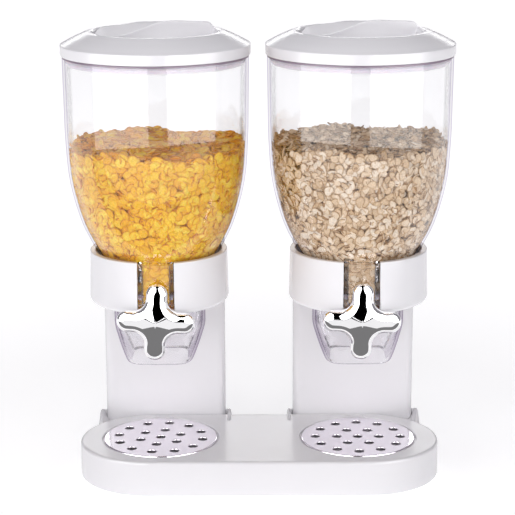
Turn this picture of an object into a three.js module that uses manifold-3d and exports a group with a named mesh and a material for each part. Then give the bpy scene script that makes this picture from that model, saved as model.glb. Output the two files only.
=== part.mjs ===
// Twin dry-food dispenser: two clear canisters stand in the collars of a white stand. Below each one
// a clear chamber holds a four-bladed paddle, and a chromed knob turns it to drop a portion of food.
// Millimetres, +Z up, the front faces -Y. The origin is the middle of the footprint on the table.
import * as THREE from "three";
import { mergeVertices } from "three/addons/utils/BufferGeometryUtils.js";
import Module from "manifold-3d";

const wasm = await Module();
wasm.setup();

// ---- Driving dimensions -------------------------------------------------------------------------

const CANISTER_X = 82.9; // each canister's axis from the middle plane
const CANISTER_Y = -9; // the canister axes stand a little in front of the origin
const GAP = 0.3; // clearance between pieces that touch

// Heights above the table.
const FOOT_H = 0.5;
const BASE_UNDERSIDE = 0.8;
const BASE_TOP = 30.1;
const SOCKET_TOP = 35;
const SPOUT_MOUTH = 104;
const SHAFT_Z = 151.3;
const COLLAR_BOTTOM = 155.2;
const NECK_BOTTOM = 163;
const CHAMBER_TOP = 172;
const COLLAR_TOP = 198.5;
const LID_RIM = 359.6;
const LID_RECESS = 363;
const LID_CREST = 386;

// Base: a stadium whose round ends have this radius, and whose straight part this half length.
const BASE_R = 61.5;
const BASE_STRAIGHT = 91;
const BASE_Y = CANISTER_Y + 3.5;
const BASE_WALL = 2.6;
const BASE_EDGE = 3;
const COVER_T = 2;
const WELL_R = 46.5;
const WELL_FLOOR = 9;
const FOOT_R = 7;
const FEET = {
  front_left: [-98, -46],
  front_middle: [0, -52],
  front_right: [98, -46],
  rear_left: [-128, 66],
  rear_middle_left: [-38, 66],
  rear_middle_right: [38, 66],
  rear_right: [128, 66],
};

// Grate, one in each well.
const GRATE_R = 48.5;
const GRATE_T = 2;
const GRATE_Y = 4.8; // behind the canister's axis
const GRATE_OUT = 1.4; // further out from the middle plane than that axis
const GRATE_PLAY = 0.6; // room round it in its ledge
const HOLE_R = 4;
const HOLE_RINGS = [
  { radius: 18, count: 6 },
  { radius: 36.5, count: 12 },
];

// Column and its socket, measured from the canister's axis.
const COLUMN_HALF_W = 53;
const COLUMN_FRONT = 65;
const COLUMN_SPLIT = 80;
const COLUMN_REAR = 91;
const COLUMN_CORNER = 7;
const COLUMN_WALL = 2.6;
const COLUMN_FOOT = 7;
const SCREW_HEIGHTS = { lower: 60, upper: 140 };
const SOCKET_FRONT = 36;
const SOCKET_HALF_W = 58;
const SOCKET_REAR = 95.1;
const SOCKET_CORNER = 8;
const SOCKET_CREST = 60; // where its cheeks are at full height, up to the column's front
const SOCKET_REAR_TOP = 22;
const SOCKET_DIP = { half: 50.5, z: 24, rimHalf: 56, rimZ: 33.5 }; // the hollow between the cheeks
const SCREW_R = 1.5;
const SCREW_HEAD_R = 3.3;
const SCREW_TIP = 70;
const SCREW_SEAT = 87;
const SCREW_PLAY = 0.35;

// Collar.
const COLLAR_R = 57.4;
const COLLAR_BORE = 52;
const COLLAR_SLOT = 29.5;
const BRIDGE_FRONT = 20; // where the block between collar and column begins
const COLLAR_ROUND = 32; // segments of its circles

// Canister, chamber and lid.
const CANISTER_WALL = 2;
const CANISTER_BELLY = [
  [42, 181],
  [49.8, 195.4],
  [62.6, 220.9],
  [71.7, 254.7],
  [74.6, 288],
  [75.2, 321],
  [75.7, 359.3],
];
const NECK_R = 38;
const NECK_TOP = 174;
const CHAMBER_WALL = 2.2;
// The chamber below its cylinder narrows from a circle to a rounded square: half width, height and
// roundness of each section, where 2 is a circle and more is squarer.
const CHAMBER_WAIST = 136;
const CHAMBER_ROUND = 32; // segments of its sections
const SPOUT_HALF = 24.2; // half the mouth's clear width
const CHAMBER_SPOUT = [
  [38, CHAMBER_WAIST, 2],
  [37.4, 131.5, 2.1],
  [35.7, 126, 2.3],
  [32.8, 117.5, 2.8],
  [29.3, 109, 3.6],
  [27.6, 105.2, 4],
  [26.4, SPOUT_MOUTH, 4],
];
const CUP_R = 43.3;
const CUP_FLARE = [156, 160]; // heights between which the chamber widens into its cup
const WINDOW_FRONT = -55.5;
const WINDOW_WALL = 3;
const WINDOW_REAR = -28;
const LID_R = 77.1;
const LID_WALL = 2.5;
const LID_DOME = [[75, 369.2], [68, 372.9], [56.5, 378], [53, 378.6], [50.4, 377.6]];
const SKIRT_R = 71;
const SKIRT_T = 2.2;
const SKIRT_BOTTOM = 352;
const GRIP_REACH = 47;
const GRIP_HALF_T = 4.5;
const GRIP_END_TOP = 378.5;
const GRIP_SHOULDER = [26, 383.6];
const SEAL_H = 4;
const LID_SEAL_Z = 353.5;
const CHAMBER_SEAL_Z = 165;

// Metering mechanism.
const SHAFT_R = 4;
const BUSH_BORE = 4.07;
const RUNNING = 24; // segments of the shaft and of the bores that it turns in
const BUSH_R = 6;
const BOSS_R = 9;
const BOSS_FRONT = -50;
const BOSS_REAR = 45;
const BUSH_REACH = 33.5; // how near to the axis a bush's inner end comes
const FLANGE_T = 2;
const CLIP_R = 7;
const CLIP_T = 1.2;
const CLIP_Y = 47.8;
const SHAFT_FRONT = -65;
const SHAFT_REAR = 50;
const PADDLE_HUB_R = 7;
const PADDLE_HUB_HALF = 26;
const BLADE_ROOT_HALF = 25;
const PADDLE_R = 28.5;
const PADDLE_SPHERE = 33.6; // the blades' corners stay inside this radius from the chamber's middle
const BLADE_T = 2.4;
const BLADES = 4;
const KNOB_BACK = -59.5;
const KNOB_T = 10.5;
const KNOB_EDGE = 2.5;
const KNOB_NECK_R = 8;
const KNOB_NECK_REAR = -54;
const KNOB_REACH = 31.7;
const LOBE_R = 8.7;
const LOBE_HOLLOW = 10.3; // radius of the hollows between the lobes

// What differs between the two sides: how far the knob, the lid's grip and the grate's rows of holes
// are turned, in degrees.
const SIDES = [
  { name: "left", x: -CANISTER_X, knobTurn: 3, gripTurn: 33, holeTurn: 81 },
  { name: "right", x: CANISTER_X, knobTurn: 2, gripTurn: 29, holeTurn: 59 },
];

// ---- Materials ----------------------------------------------------------------------------------

const plastic = (color, roughness) => new THREE.MeshStandardMaterial({ color, roughness, metalness: 0 });
const metal = (color, roughness) => new THREE.MeshStandardMaterial({ color, roughness, metalness: 1 });
const clear = () =>
  new THREE.MeshStandardMaterial({ color: 0xf4f6f7, roughness: 0.04, transparent: true, opacity: 0.3 });

const WHITE = () => plastic(0xeeedf0, 0.25);
const RUBBER = () => plastic(0x3a3a3c, 0.8);
const SEAL = () => plastic(0xd6d2d8, 0.6);
const BLADE = () => plastic(0xe9e6dd, 0.45);
const BUSH = () => plastic(0xdedee0, 0.4);
const CHROME = () => metal(0xe2e3e6, 0.06);
const STEEL = () => metal(0xbfc1c4, 0.25);

// ---- Helpers ------------------------------------------------------------------------------------

const ROUND = 24; // segments of a large circle
const SMALL = 12; // segments of a small one

// A geometry as a manifold-3d solid.
function solid(geometry) {
  const bare = geometry.clone();
  bare.deleteAttribute("normal");
  bare.deleteAttribute("uv");
  const merged = mergeVertices(bare, 1e-4);
  return new wasm.Manifold(
    new wasm.Mesh({
      numProp: 3,
      vertProperties: new Float32Array(merged.attributes.position.array),
      triVerts: new Uint32Array(merged.index.array),
    }),
  );
}

// A manifold-3d solid as a geometry.
function geometryOf(body) {
  const mesh = body.getMesh();
  const geometry = new THREE.BufferGeometry();
  const points = new Float32Array(mesh.numVert * 3);
  for (let i = 0; i < mesh.numVert; i++) {
    const start = i * mesh.numProp;
    points.set(mesh.vertProperties.subarray(start, start + 3), i * 3);
  }
  geometry.setAttribute("position", new THREE.BufferAttribute(points, 3));
  geometry.setIndex(new THREE.BufferAttribute(new Uint32Array(mesh.triVerts), 1));
  geometry.computeVertexNormals();
  return geometry;
}

const join = (...bodies) => bodies.reduce((sum, next) => sum.add(next));
const cut = (body, ...tools) => tools.reduce((rest, tool) => rest.subtract(tool), body);

// A box between two corners.
function box(x0, y0, z0, x1, y1, z1) {
  const geometry = new THREE.BoxGeometry(x1 - x0, y1 - y0, z1 - z0);
  geometry.translate((x0 + x1) / 2, (y0 + y1) / 2, (z0 + z1) / 2);
  return solid(geometry);
}

// A solid of revolution about +Z, from [radius, height] pairs that run counter-clockwise.
function turned(profile, segments = ROUND) {
  const points = profile.map(([r, z]) => new THREE.Vector2(r, z));
  return new THREE.LatheGeometry(points, segments).rotateX(Math.PI / 2);
}

// A ring of rectangular section about +Z.
function ring(inner, outer, bottom, top, segments = ROUND) {
  const corners = [[inner, bottom], [outer, bottom], [outer, top], [inner, top], [inner, bottom]];
  return turned(corners, segments);
}

// A cylinder along +Z, or along +Y between two stations at a height.
function post(x, y, bottom, top, radius, segments = SMALL) {
  const geometry = new THREE.CylinderGeometry(radius, radius, top - bottom, segments);
  return geometry.rotateX(Math.PI / 2).translate(x, y, (bottom + top) / 2);
}

function rod(x, z, front, rear, radius, segments = SMALL) {
  const geometry = new THREE.CylinderGeometry(radius, radius, rear - front, segments);
  return geometry.translate(x, (front + rear) / 2, z);
}

// A solid through sections about the Z axis, from the top down: half width, height and roundness.
function lofted(sections, segments = ROUND) {
  const points = [];
  const triangles = [];
  sections.forEach(([half, z, roundness], row) => {
    for (let i = 0; i < segments; i++) {
      const angle = (2 * Math.PI * i) / segments;
      const c = Math.cos(angle);
      const s = Math.sin(angle);
      const reach = half / (Math.abs(c) ** roundness + Math.abs(s) ** roundness) ** (1 / roundness);
      points.push(reach * c, reach * s, z);
      if (!row) continue;
      const here = row * segments + i;
      const next = row * segments + ((i + 1) % segments);
      triangles.push(here, next, next - segments, here, next - segments, here - segments);
    }
  });
  const last = (sections.length - 1) * segments;
  for (let i = 2; i < segments; i++) {
    triangles.push(0, i - 1, i, last, last + i, last + i - 1);
  }
  const geometry = new THREE.BufferGeometry();
  geometry.setAttribute("position", new THREE.BufferAttribute(new Float32Array(points), 3));
  geometry.setIndex(triangles);
  return solid(geometry);
}

// A shape of the XY plane, raised between two heights.
function raised(shape, bottom, top, curveSegments = 8) {
  const settings = { depth: top - bottom, bevelEnabled: false, curveSegments };
  return new THREE.ExtrudeGeometry(shape, settings).translate(0, 0, bottom);
}

// The stadium of the base, drawn in by a margin.
function stadium(margin) {
  const r = BASE_R - margin;
  const shape = new THREE.Shape();
  shape.moveTo(-BASE_STRAIGHT, -r);
  shape.lineTo(BASE_STRAIGHT, -r);
  shape.absarc(BASE_STRAIGHT, 0, r, -Math.PI / 2, Math.PI / 2);
  shape.lineTo(-BASE_STRAIGHT, r);
  shape.absarc(-BASE_STRAIGHT, 0, r, Math.PI / 2, (3 * Math.PI) / 2);
  return shape;
}

// A rectangle of the XY plane with a corner radius at its front and one at its rear.
function rounded(halfWidth, front, rear, frontR, rearR) {
  const shape = new THREE.Shape();
  const w = halfWidth;
  shape.moveTo(-w + frontR, front);
  shape.lineTo(w - frontR, front);
  if (frontR) shape.absarc(w - frontR, front + frontR, frontR, -Math.PI / 2, 0);
  shape.lineTo(w, rear - rearR);
  if (rearR) shape.absarc(w - rearR, rear - rearR, rearR, 0, Math.PI / 2);
  shape.lineTo(-w + rearR, rear);
  if (rearR) shape.absarc(-w + rearR, rear - rearR, rearR, Math.PI / 2, Math.PI);
  shape.lineTo(-w, front + frontR);
  if (frontR) shape.absarc(-w + frontR, front + frontR, frontR, Math.PI, (3 * Math.PI) / 2);
  return shape;
}

// A smooth curve through [radius, height] pairs, as more pairs.
function smooth(pairs, steps) {
  const curve = new THREE.SplineCurve(pairs.map(([r, z]) => new THREE.Vector2(r, z)));
  return curve.getPoints(steps).map((p) => [p.x, p.y]);
}

// The part under construction, and the one way that a named piece gets into it.
const dispenser = new THREE.Group();
dispenser.name = "dispenser";

function piece(parent, name, shape, material) {
  const geometry = shape.isBufferGeometry ? shape : geometryOf(shape);
  const mesh = new THREE.Mesh(geometry, material);
  mesh.name = name;
  parent.add(mesh);
}

// ---- Base ---------------------------------------------------------------------------------------

// An outline in the YZ plane, extended along +X between two planes.
function alongX(outline, from, to) {
  const shape = new THREE.Shape(outline.map(([y, z]) => new THREE.Vector2(y, z)));
  const solidShape = new THREE.ExtrudeGeometry(shape, { depth: to - from, bevelEnabled: false });
  return solidShape.rotateX(Math.PI / 2).rotateZ(Math.PI / 2).translate(from, 0, 0);
}

// The socket that a column's foot stands in. Its cheeks ramp up from the base's top to the column's
// front and slope down again behind it; the hollow between them widens upwards. Measured from the
// canister's axis.
function socket() {
  const plan = rounded(SOCKET_HALF_W, SOCKET_FRONT, SOCKET_REAR, 0, SOCKET_CORNER);
  const block = solid(raised(plan, BASE_UNDERSIDE, SOCKET_TOP));
  const above = SOCKET_TOP + 1;
  const before = SOCKET_FRONT - 1;
  const behind = SOCKET_REAR + 1;
  const reach = SOCKET_HALF_W + 1;
  const ramp = [
    [before, BASE_TOP - BASE_EDGE],
    [SOCKET_CREST, SOCKET_TOP],
    [SOCKET_CREST, above],
    [before, above],
  ];
  const slope = [
    [COLUMN_FRONT, SOCKET_TOP],
    [behind, SOCKET_REAR_TOP],
    [behind, above],
    [COLUMN_FRONT, above],
  ];
  const { half, z, rimHalf, rimZ } = SOCKET_DIP;
  const flare = (rimHalf - half) / (rimZ - z);
  const topHalf = half + flare * (above - z);
  const dip = new THREE.Shape([
    new THREE.Vector2(-half, z),
    new THREE.Vector2(half, z),
    new THREE.Vector2(topHalf, above),
    new THREE.Vector2(-topHalf, above),
  ]);
  const depth = COLUMN_FRONT + COLUMN_CORNER - before;
  const hollow = new THREE.ExtrudeGeometry(dip, { depth, bevelEnabled: false });
  hollow.rotateX(Math.PI / 2).translate(0, before + depth, 0);
  return cut(block, solid(alongX(ramp, -reach, reach)), solid(alongX(slope, -reach, reach)), solid(hollow));
}

// Where a grate's middle is, measured from the canister's axis at x.
const grateX = (x) => Math.sign(x) * GRATE_OUT;

// What is hollow under the base's top: all of it but the walls of the wells and of the sockets.
function baseHollow() {
  const roof = BASE_TOP - BASE_WALL;
  const socketFloor = COLUMN_FOOT - BASE_WALL;
  const wellR = WELL_R + BASE_WALL;
  const half = SOCKET_HALF_W - BASE_WALL;
  const rear = SOCKET_REAR - BASE_WALL;
  const under = rounded(half, SOCKET_FRONT + BASE_WALL, rear, 0, SOCKET_CORNER - BASE_WALL);
  let hollow = solid(raised(stadium(BASE_WALL), 0, roof)).translate([0, BASE_Y, 0]);
  for (const { x } of SIDES) {
    const place = [x, CANISTER_Y, 0];
    const well = post(grateX(x), GRATE_Y, WELL_FLOOR - BASE_WALL, roof + 1, wellR, ROUND);
    const front = COLUMN_FRONT - BASE_WALL;
    const foot = box(-SOCKET_HALF_W, front, socketFloor, SOCKET_HALF_W, SOCKET_REAR, roof + 1);
    hollow = hollow.add(solid(raised(under, 0, socketFloor)).translate(place));
    hollow = cut(hollow, solid(well).translate(place), foot.translate(place));
  }
  return hollow;
}

function baseShell() {
  const settings = {
    depth: BASE_TOP - BASE_UNDERSIDE - BASE_EDGE,
    bevelThickness: BASE_EDGE,
    bevelSize: BASE_EDGE,
    bevelSegments: 1,
    curveSegments: 8,
  };
  const outer = new THREE.ExtrudeGeometry(stadium(BASE_EDGE), settings);
  const slab = solid(outer.translate(0, BASE_Y, BASE_UNDERSIDE));
  let shell = slab.trimByPlane([0, 0, 1], BASE_UNDERSIDE);
  const pockets = [];
  const inner = COLUMN_HALF_W + GAP;
  const plan = rounded(inner, COLUMN_FRONT - GAP, COLUMN_REAR + GAP, COLUMN_CORNER, COLUMN_CORNER);
  for (const { x } of SIDES) {
    const place = [x, CANISTER_Y, 0];
    const ledge = BASE_TOP - GRATE_T - GAP;
    shell = shell.add(socket().translate(place));
    pockets.push(
      solid(post(grateX(x), GRATE_Y, WELL_FLOOR, BASE_TOP + 1, WELL_R, ROUND)).translate(place),
      solid(post(grateX(x), GRATE_Y, ledge, BASE_TOP + 1, GRATE_R + GRATE_PLAY, ROUND)).translate(place),
      solid(raised(plan, COLUMN_FOOT, SOCKET_TOP + 1)).translate(place),
    );
  }
  return cut(shell, baseHollow(), ...pockets);
}

function bottomCover() {
  const margin = BASE_WALL + GAP;
  const top = BASE_UNDERSIDE + COVER_T;
  const half = SOCKET_HALF_W - margin;
  const front = SOCKET_FRONT + BASE_WALL + 1;
  const wing = rounded(half, front, SOCKET_REAR - margin, 0, SOCKET_CORNER - margin);
  const wings = SIDES.map(({ x }) => solid(raised(wing, BASE_UNDERSIDE, top)).translate([x, CANISTER_Y, 0]));
  const plate = solid(raised(stadium(margin), BASE_UNDERSIDE, top)).translate([0, BASE_Y, 0]);
  return join(plate, ...wings);
}

piece(dispenser, "base_shell", baseShell(), WHITE());
piece(dispenser, "base_bottom_cover", bottomCover(), WHITE());
for (const [place, [x, y]] of Object.entries(FEET)) {
  piece(dispenser, `foot_${place}`, post(x, y, 0, FOOT_H, FOOT_R), RUBBER());
}

// ---- Stand --------------------------------------------------------------------------------------

// The front half of a column, in one piece with its collar. A block bridges the two, and everything
// behind the collar's bore is hollow.
function columnFront() {
  const wall = COLUMN_WALL;
  const w = COLUMN_HALF_W;
  const plan = rounded(w, COLUMN_FRONT, COLUMN_SPLIT, COLUMN_CORNER, 0);
  const column = solid(raised(plan, COLUMN_FOOT + GAP, COLLAR_TOP));
  const section = [
    [COLLAR_BORE, COLLAR_BOTTOM],
    [COLLAR_R - 4, COLLAR_BOTTOM],
    [COLLAR_R - 1.2, COLLAR_BOTTOM + 1.3],
    [COLLAR_R, COLLAR_BOTTOM + 4.5],
    [COLLAR_R, COLLAR_TOP - 1],
    [COLLAR_R - 1, COLLAR_TOP],
    [COLLAR_BORE, COLLAR_TOP],
    [COLLAR_BORE, COLLAR_BOTTOM],
  ];
  const collar = solid(turned(section, COLLAR_ROUND));
  const bridge = box(-w, BRIDGE_FRONT, COLLAR_BOTTOM, w, COLUMN_FRONT + COLUMN_CORNER + 1, COLLAR_TOP);
  const below = COLLAR_BOTTOM - 1;
  const above = COLLAR_TOP + 1;
  const bore = solid(post(0, 0, below, above, COLLAR_BORE, COLLAR_ROUND));
  const half = COLLAR_SLOT / 2;
  const slot = box(-half, -COLLAR_R - 1, below, half, 0, above);
  const behind = COLUMN_SPLIT + 1;
  const inside = rounded(w - wall, COLUMN_FRONT + wall, behind, COLUMN_CORNER - wall, 0);
  const cavity = solid(raised(inside, 0, COLLAR_TOP - wall));
  const head = box(wall - w, COLLAR_BORE + wall, COLLAR_BOTTOM + wall, w - wall, behind, COLLAR_TOP - wall);
  const bosses = Object.values(SCREW_HEIGHTS).map((z) =>
    cut(
      solid(rod(0, z, COLUMN_FRONT + wall / 2, COLUMN_SPLIT, 3 * SCREW_R)),
      solid(rod(0, z, SCREW_TIP - 2, behind, SCREW_R + SCREW_PLAY)),
    ),
  );
  return join(cut(join(column, bridge, collar), bore, slot, cavity, head), ...bosses);
}

function columnBack() {
  const wall = COLUMN_WALL;
  const front = COLUMN_SPLIT + GAP;
  const w = COLUMN_HALF_W;
  const plan = rounded(w, front, COLUMN_REAR, 0, COLUMN_CORNER);
  const inside = rounded(w - wall, front - 1, COLUMN_REAR - wall, 0, COLUMN_CORNER - wall);
  const cover = cut(
    solid(raised(plan, COLUMN_FOOT + GAP, COLLAR_TOP)),
    solid(raised(inside, 0, COLLAR_TOP - wall)),
  );
  const heights = Object.values(SCREW_HEIGHTS);
  const bosses = heights.map((z) => solid(rod(0, z, front, COLUMN_REAR - 1, SCREW_HEAD_R + wall)));
  const bores = heights.flatMap((z) => [
    solid(rod(0, z, front - 1, COLUMN_REAR + 1, SCREW_R + SCREW_PLAY)),
    solid(rod(0, z, SCREW_SEAT, COLUMN_REAR + 1, SCREW_HEAD_R + SCREW_PLAY)),
  ]);
  return cut(join(cover, ...bosses), ...bores);
}

// A screw that holds a column's rear cover, with its head sunk in the cover.
function coverScrew(z) {
  const shank = rod(0, z, SCREW_TIP, SCREW_SEAT + 1, SCREW_R);
  const head = rod(0, z, SCREW_SEAT + GAP, COLUMN_REAR - 1, SCREW_HEAD_R);
  return join(solid(shank), solid(head));
}

// ---- Canister, chamber and lid -------------------------------------------------------------------

// The canister's neck and the chamber's cup open into a clear window box that fills the collar's slot
// and keeps them from turning. This is that box between two heights, shrunk by a wall for its inside.
function windowBox(bottom, top, rear, wall) {
  const half = COLLAR_SLOT / 2 - GAP - wall;
  return box(-half, WINDOW_FRONT + wall, bottom, half, rear, top);
}

function canister() {
  const outer = [[NECK_R, NECK_BOTTOM], [NECK_R, NECK_TOP], ...smooth(CANISTER_BELLY, 6)];
  const inner = outer.map(([r, z]) => [r - CANISTER_WALL, z]);
  const [neckR] = inner[0];
  const [mouthR, mouthZ] = inner[inner.length - 1];
  const below = NECK_BOTTOM - 1;
  const above = mouthZ + 1;
  const windowTop = COLLAR_TOP - GAP;
  const body = join(
    solid(turned([[0, NECK_BOTTOM], ...outer, [0, mouthZ]])),
    windowBox(CHAMBER_TOP + GAP, windowTop, WINDOW_REAR - 1, 0),
  );
  return cut(
    body,
    solid(turned([[0, below], [neckR, below], ...inner, [mouthR, above], [0, above]])),
    windowBox(CHAMBER_TOP - 2, windowTop - CANISTER_WALL, WINDOW_REAR, WINDOW_WALL),
  );
}

// The chamber: an open mouth below, straight walls round the paddle and a cup for the canister's neck.
function chamber() {
  const wall = CHAMBER_WALL;
  const [flareBottom, flareTop] = CUP_FLARE;
  const outer = turned([
    [0, CHAMBER_WAIST],
    [NECK_R, CHAMBER_WAIST],
    [NECK_R, flareBottom],
    [CUP_R, flareTop],
    [CUP_R, CHAMBER_TOP],
    [0, CHAMBER_TOP],
  ], CHAMBER_ROUND);
  const shelf = NECK_BOTTOM - 2 * GAP;
  const inner = turned([
    [0, CHAMBER_WAIST],
    [NECK_R - wall, CHAMBER_WAIST],
    [NECK_R - wall, shelf],
    [CUP_R - wall, shelf],
    [CUP_R - wall, CHAMBER_TOP + 1],
    [0, CHAMBER_TOP + 1],
  ], CHAMBER_ROUND);
  const spout = lofted(CHAMBER_SPOUT, CHAMBER_ROUND);
  const throat = lofted([
    ...CHAMBER_SPOUT.slice(0, -2).map(([half, z, roundness]) => [half - wall, z, roundness]),
    [SPOUT_HALF, SPOUT_MOUTH - 1, 4],
  ], CHAMBER_ROUND);
  const tube = cut(join(solid(outer), spout), solid(inner), throat);
  const root = NECK_R - wall / 2;
  const frontBoss = solid(rod(0, SHAFT_Z, BOSS_FRONT, -root, BOSS_R));
  const rearBoss = solid(rod(0, SHAFT_Z, root, BOSS_REAR, BOSS_R));
  const sill = SHAFT_Z + BOSS_R + GAP;
  const bore = BUSH_R + 0.05;
  return cut(
    join(tube, frontBoss, rearBoss, windowBox(sill, CHAMBER_TOP, wall / 2 - CUP_R, 0)),
    windowBox(sill + wall, CHAMBER_TOP + 1, WINDOW_REAR, WINDOW_WALL),
    solid(rod(0, SHAFT_Z, BOSS_FRONT - 1, WINDOW_REAR, bore)),
    solid(rod(0, SHAFT_Z, -WINDOW_REAR, BOSS_REAR + 1, bore)),
  );
}

function lidShell() {
  const inside = SKIRT_R - SKIRT_T;
  const profile = [
    [0, LID_RECESS - LID_WALL],
    [44.5, LID_RECESS - LID_WALL],
    [48, LID_RECESS + 1],
    [52.5, 375],
    [inside, 368],
    [inside, SKIRT_BOTTOM],
    [SKIRT_R, SKIRT_BOTTOM],
    [SKIRT_R, LID_RIM],
    [LID_R, LID_RIM],
    [LID_R, 367.3],
    [LID_R - 0.6, 368.5],
    ...smooth(LID_DOME, 4),
    [48.6, 374],
    [45.5, LID_RECESS + 2],
    [43.5, LID_RECESS],
    [0, LID_RECESS],
  ];
  return solid(turned(profile));
}

// The grip that crosses the lid's recess: a fin with an arched crest, along +X.
function grip() {
  const bevel = 1.5;
  const half = GRIP_HALF_T - bevel;
  const foot = LID_RECESS - 1;
  const [shoulder, shoulderTop] = GRIP_SHOULDER;
  const outline = new THREE.Shape();
  outline.moveTo(-GRIP_REACH, foot);
  outline.lineTo(GRIP_REACH, foot);
  outline.lineTo(GRIP_REACH, GRIP_END_TOP);
  outline.splineThru([
    new THREE.Vector2(shoulder, shoulderTop),
    new THREE.Vector2(0, LID_CREST),
    new THREE.Vector2(-shoulder, shoulderTop),
    new THREE.Vector2(-GRIP_REACH, GRIP_END_TOP),
  ]);
  const settings = {
    depth: 2 * half,
    bevelThickness: bevel,
    bevelSize: bevel,
    bevelSegments: 1,
    curveSegments: 8,
  };
  const fin = new THREE.ExtrudeGeometry(outline, settings).rotateX(Math.PI / 2).translate(0, half, 0);
  const within = post(0, 0, foot, LID_CREST, GRIP_REACH + 2, ROUND);
  return solid(fin).intersect(solid(within));
}

// ---- Metering mechanism --------------------------------------------------------------------------

// One blade in the plane of +X and +Y. Its corners follow the round wall of the chamber.
function blade() {
  const rootAngle = Math.asin(BLADE_ROOT_HALF / PADDLE_SPHERE);
  const tipAngle = Math.acos(PADDLE_R / PADDLE_SPHERE);
  const start = PADDLE_HUB_R - 1;
  const outline = new THREE.Shape();
  outline.moveTo(start, -BLADE_ROOT_HALF);
  outline.absarc(0, 0, PADDLE_SPHERE, -rootAngle, -tipAngle);
  outline.absarc(0, 0, PADDLE_SPHERE, tipAngle, rootAngle);
  outline.lineTo(start, BLADE_ROOT_HALF);
  return raised(outline, -BLADE_T / 2, BLADE_T / 2, 4);
}

function paddle() {
  const end = PADDLE_HUB_HALF;
  const hub = solid(rod(0, 0, -end, end, PADDLE_HUB_R));
  const blades = [];
  for (let i = 0; i < BLADES; i++) {
    blades.push(solid(blade()).rotate([0, (360 / BLADES) * i, 0]));
  }
  return cut(join(hub, ...blades), solid(rod(0, 0, -end - 1, end + 1, SHAFT_R + GAP)));
}

// The knob's four-lobed outline in the XZ plane: round ends, joined by hollows of a larger radius.
function knobOutline(margin) {
  const lobe = LOBE_R - margin;
  const centre = KNOB_REACH - LOBE_R;
  const hollow = LOBE_HOLLOW + margin;
  const far = (LOBE_R + LOBE_HOLLOW) * Math.SQRT2;
  const quarter = Math.PI / 2;
  const outline = new THREE.Shape();
  for (let i = 0; i < 4; i++) {
    const turn = i * quarter;
    const back = turn - quarter;
    const middle = turn + quarter / 2;
    outline.absarc(centre * Math.cos(turn), centre * Math.sin(turn), lobe, back, turn + quarter);
    outline.absarc(far * Math.cos(middle), far * Math.sin(middle), hollow, back, back - quarter, true);
  }
  return outline;
}

function knob() {
  const settings = {
    depth: KNOB_T - 2 * KNOB_EDGE,
    bevelThickness: KNOB_EDGE,
    bevelSize: KNOB_EDGE,
    bevelSegments: 1,
    curveSegments: 4,
  };
  const body = new THREE.ExtrudeGeometry(knobOutline(KNOB_EDGE), settings).rotateX(Math.PI / 2);
  body.translate(0, KNOB_BACK - KNOB_EDGE, 0);
  const neck = rod(0, 0, KNOB_BACK - 1, KNOB_NECK_REAR, KNOB_NECK_R);
  const bore = rod(0, 0, SHAFT_FRONT - GAP, KNOB_NECK_REAR + 1, SHAFT_R + GAP);
  return cut(join(solid(body), solid(neck)), solid(bore));
}

// A flanged bush in one of the chamber's bosses: side is -1 for the front one and 1 for the rear one.
function bush(side) {
  const face = side < 0 ? BOSS_FRONT - GAP : BOSS_REAR + GAP;
  const span = (from, to, radius, segments) =>
    rod(0, SHAFT_Z, Math.min(from, to), Math.max(from, to), radius, segments);
  const sleeve = span(face, side * BUSH_REACH, BUSH_R);
  const flange = span(face - side * 0.01, face + side * FLANGE_T, BOSS_R - 1);
  const bore = span(side * (BUSH_REACH - 1), face + side * (FLANGE_T + 1), BUSH_BORE, RUNNING);
  return cut(join(solid(sleeve), solid(flange)), solid(bore));
}

// ---- Assembly of one side ------------------------------------------------------------------------

function grate(holeTurn) {
  const disc = new THREE.Shape();
  for (let quarter = 0; quarter < 4; quarter++) {
    disc.absarc(0, 0, GRATE_R, (quarter * Math.PI) / 2, ((quarter + 1) * Math.PI) / 2);
  }
  const addHole = (x, y) => {
    const hole = new THREE.Path();
    hole.absarc(x, y, HOLE_R, 0, 2 * Math.PI, true);
    disc.holes.push(hole);
  };
  addHole(0, 0);
  for (const { radius, count } of HOLE_RINGS) {
    for (let i = 0; i < count; i++) {
      const angle = THREE.MathUtils.degToRad(holeTurn + (360 / count) * i);
      addHole(radius * Math.cos(angle), radius * Math.sin(angle));
    }
  }
  return raised(disc, BASE_TOP - GRATE_T, BASE_TOP, 4);
}

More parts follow.
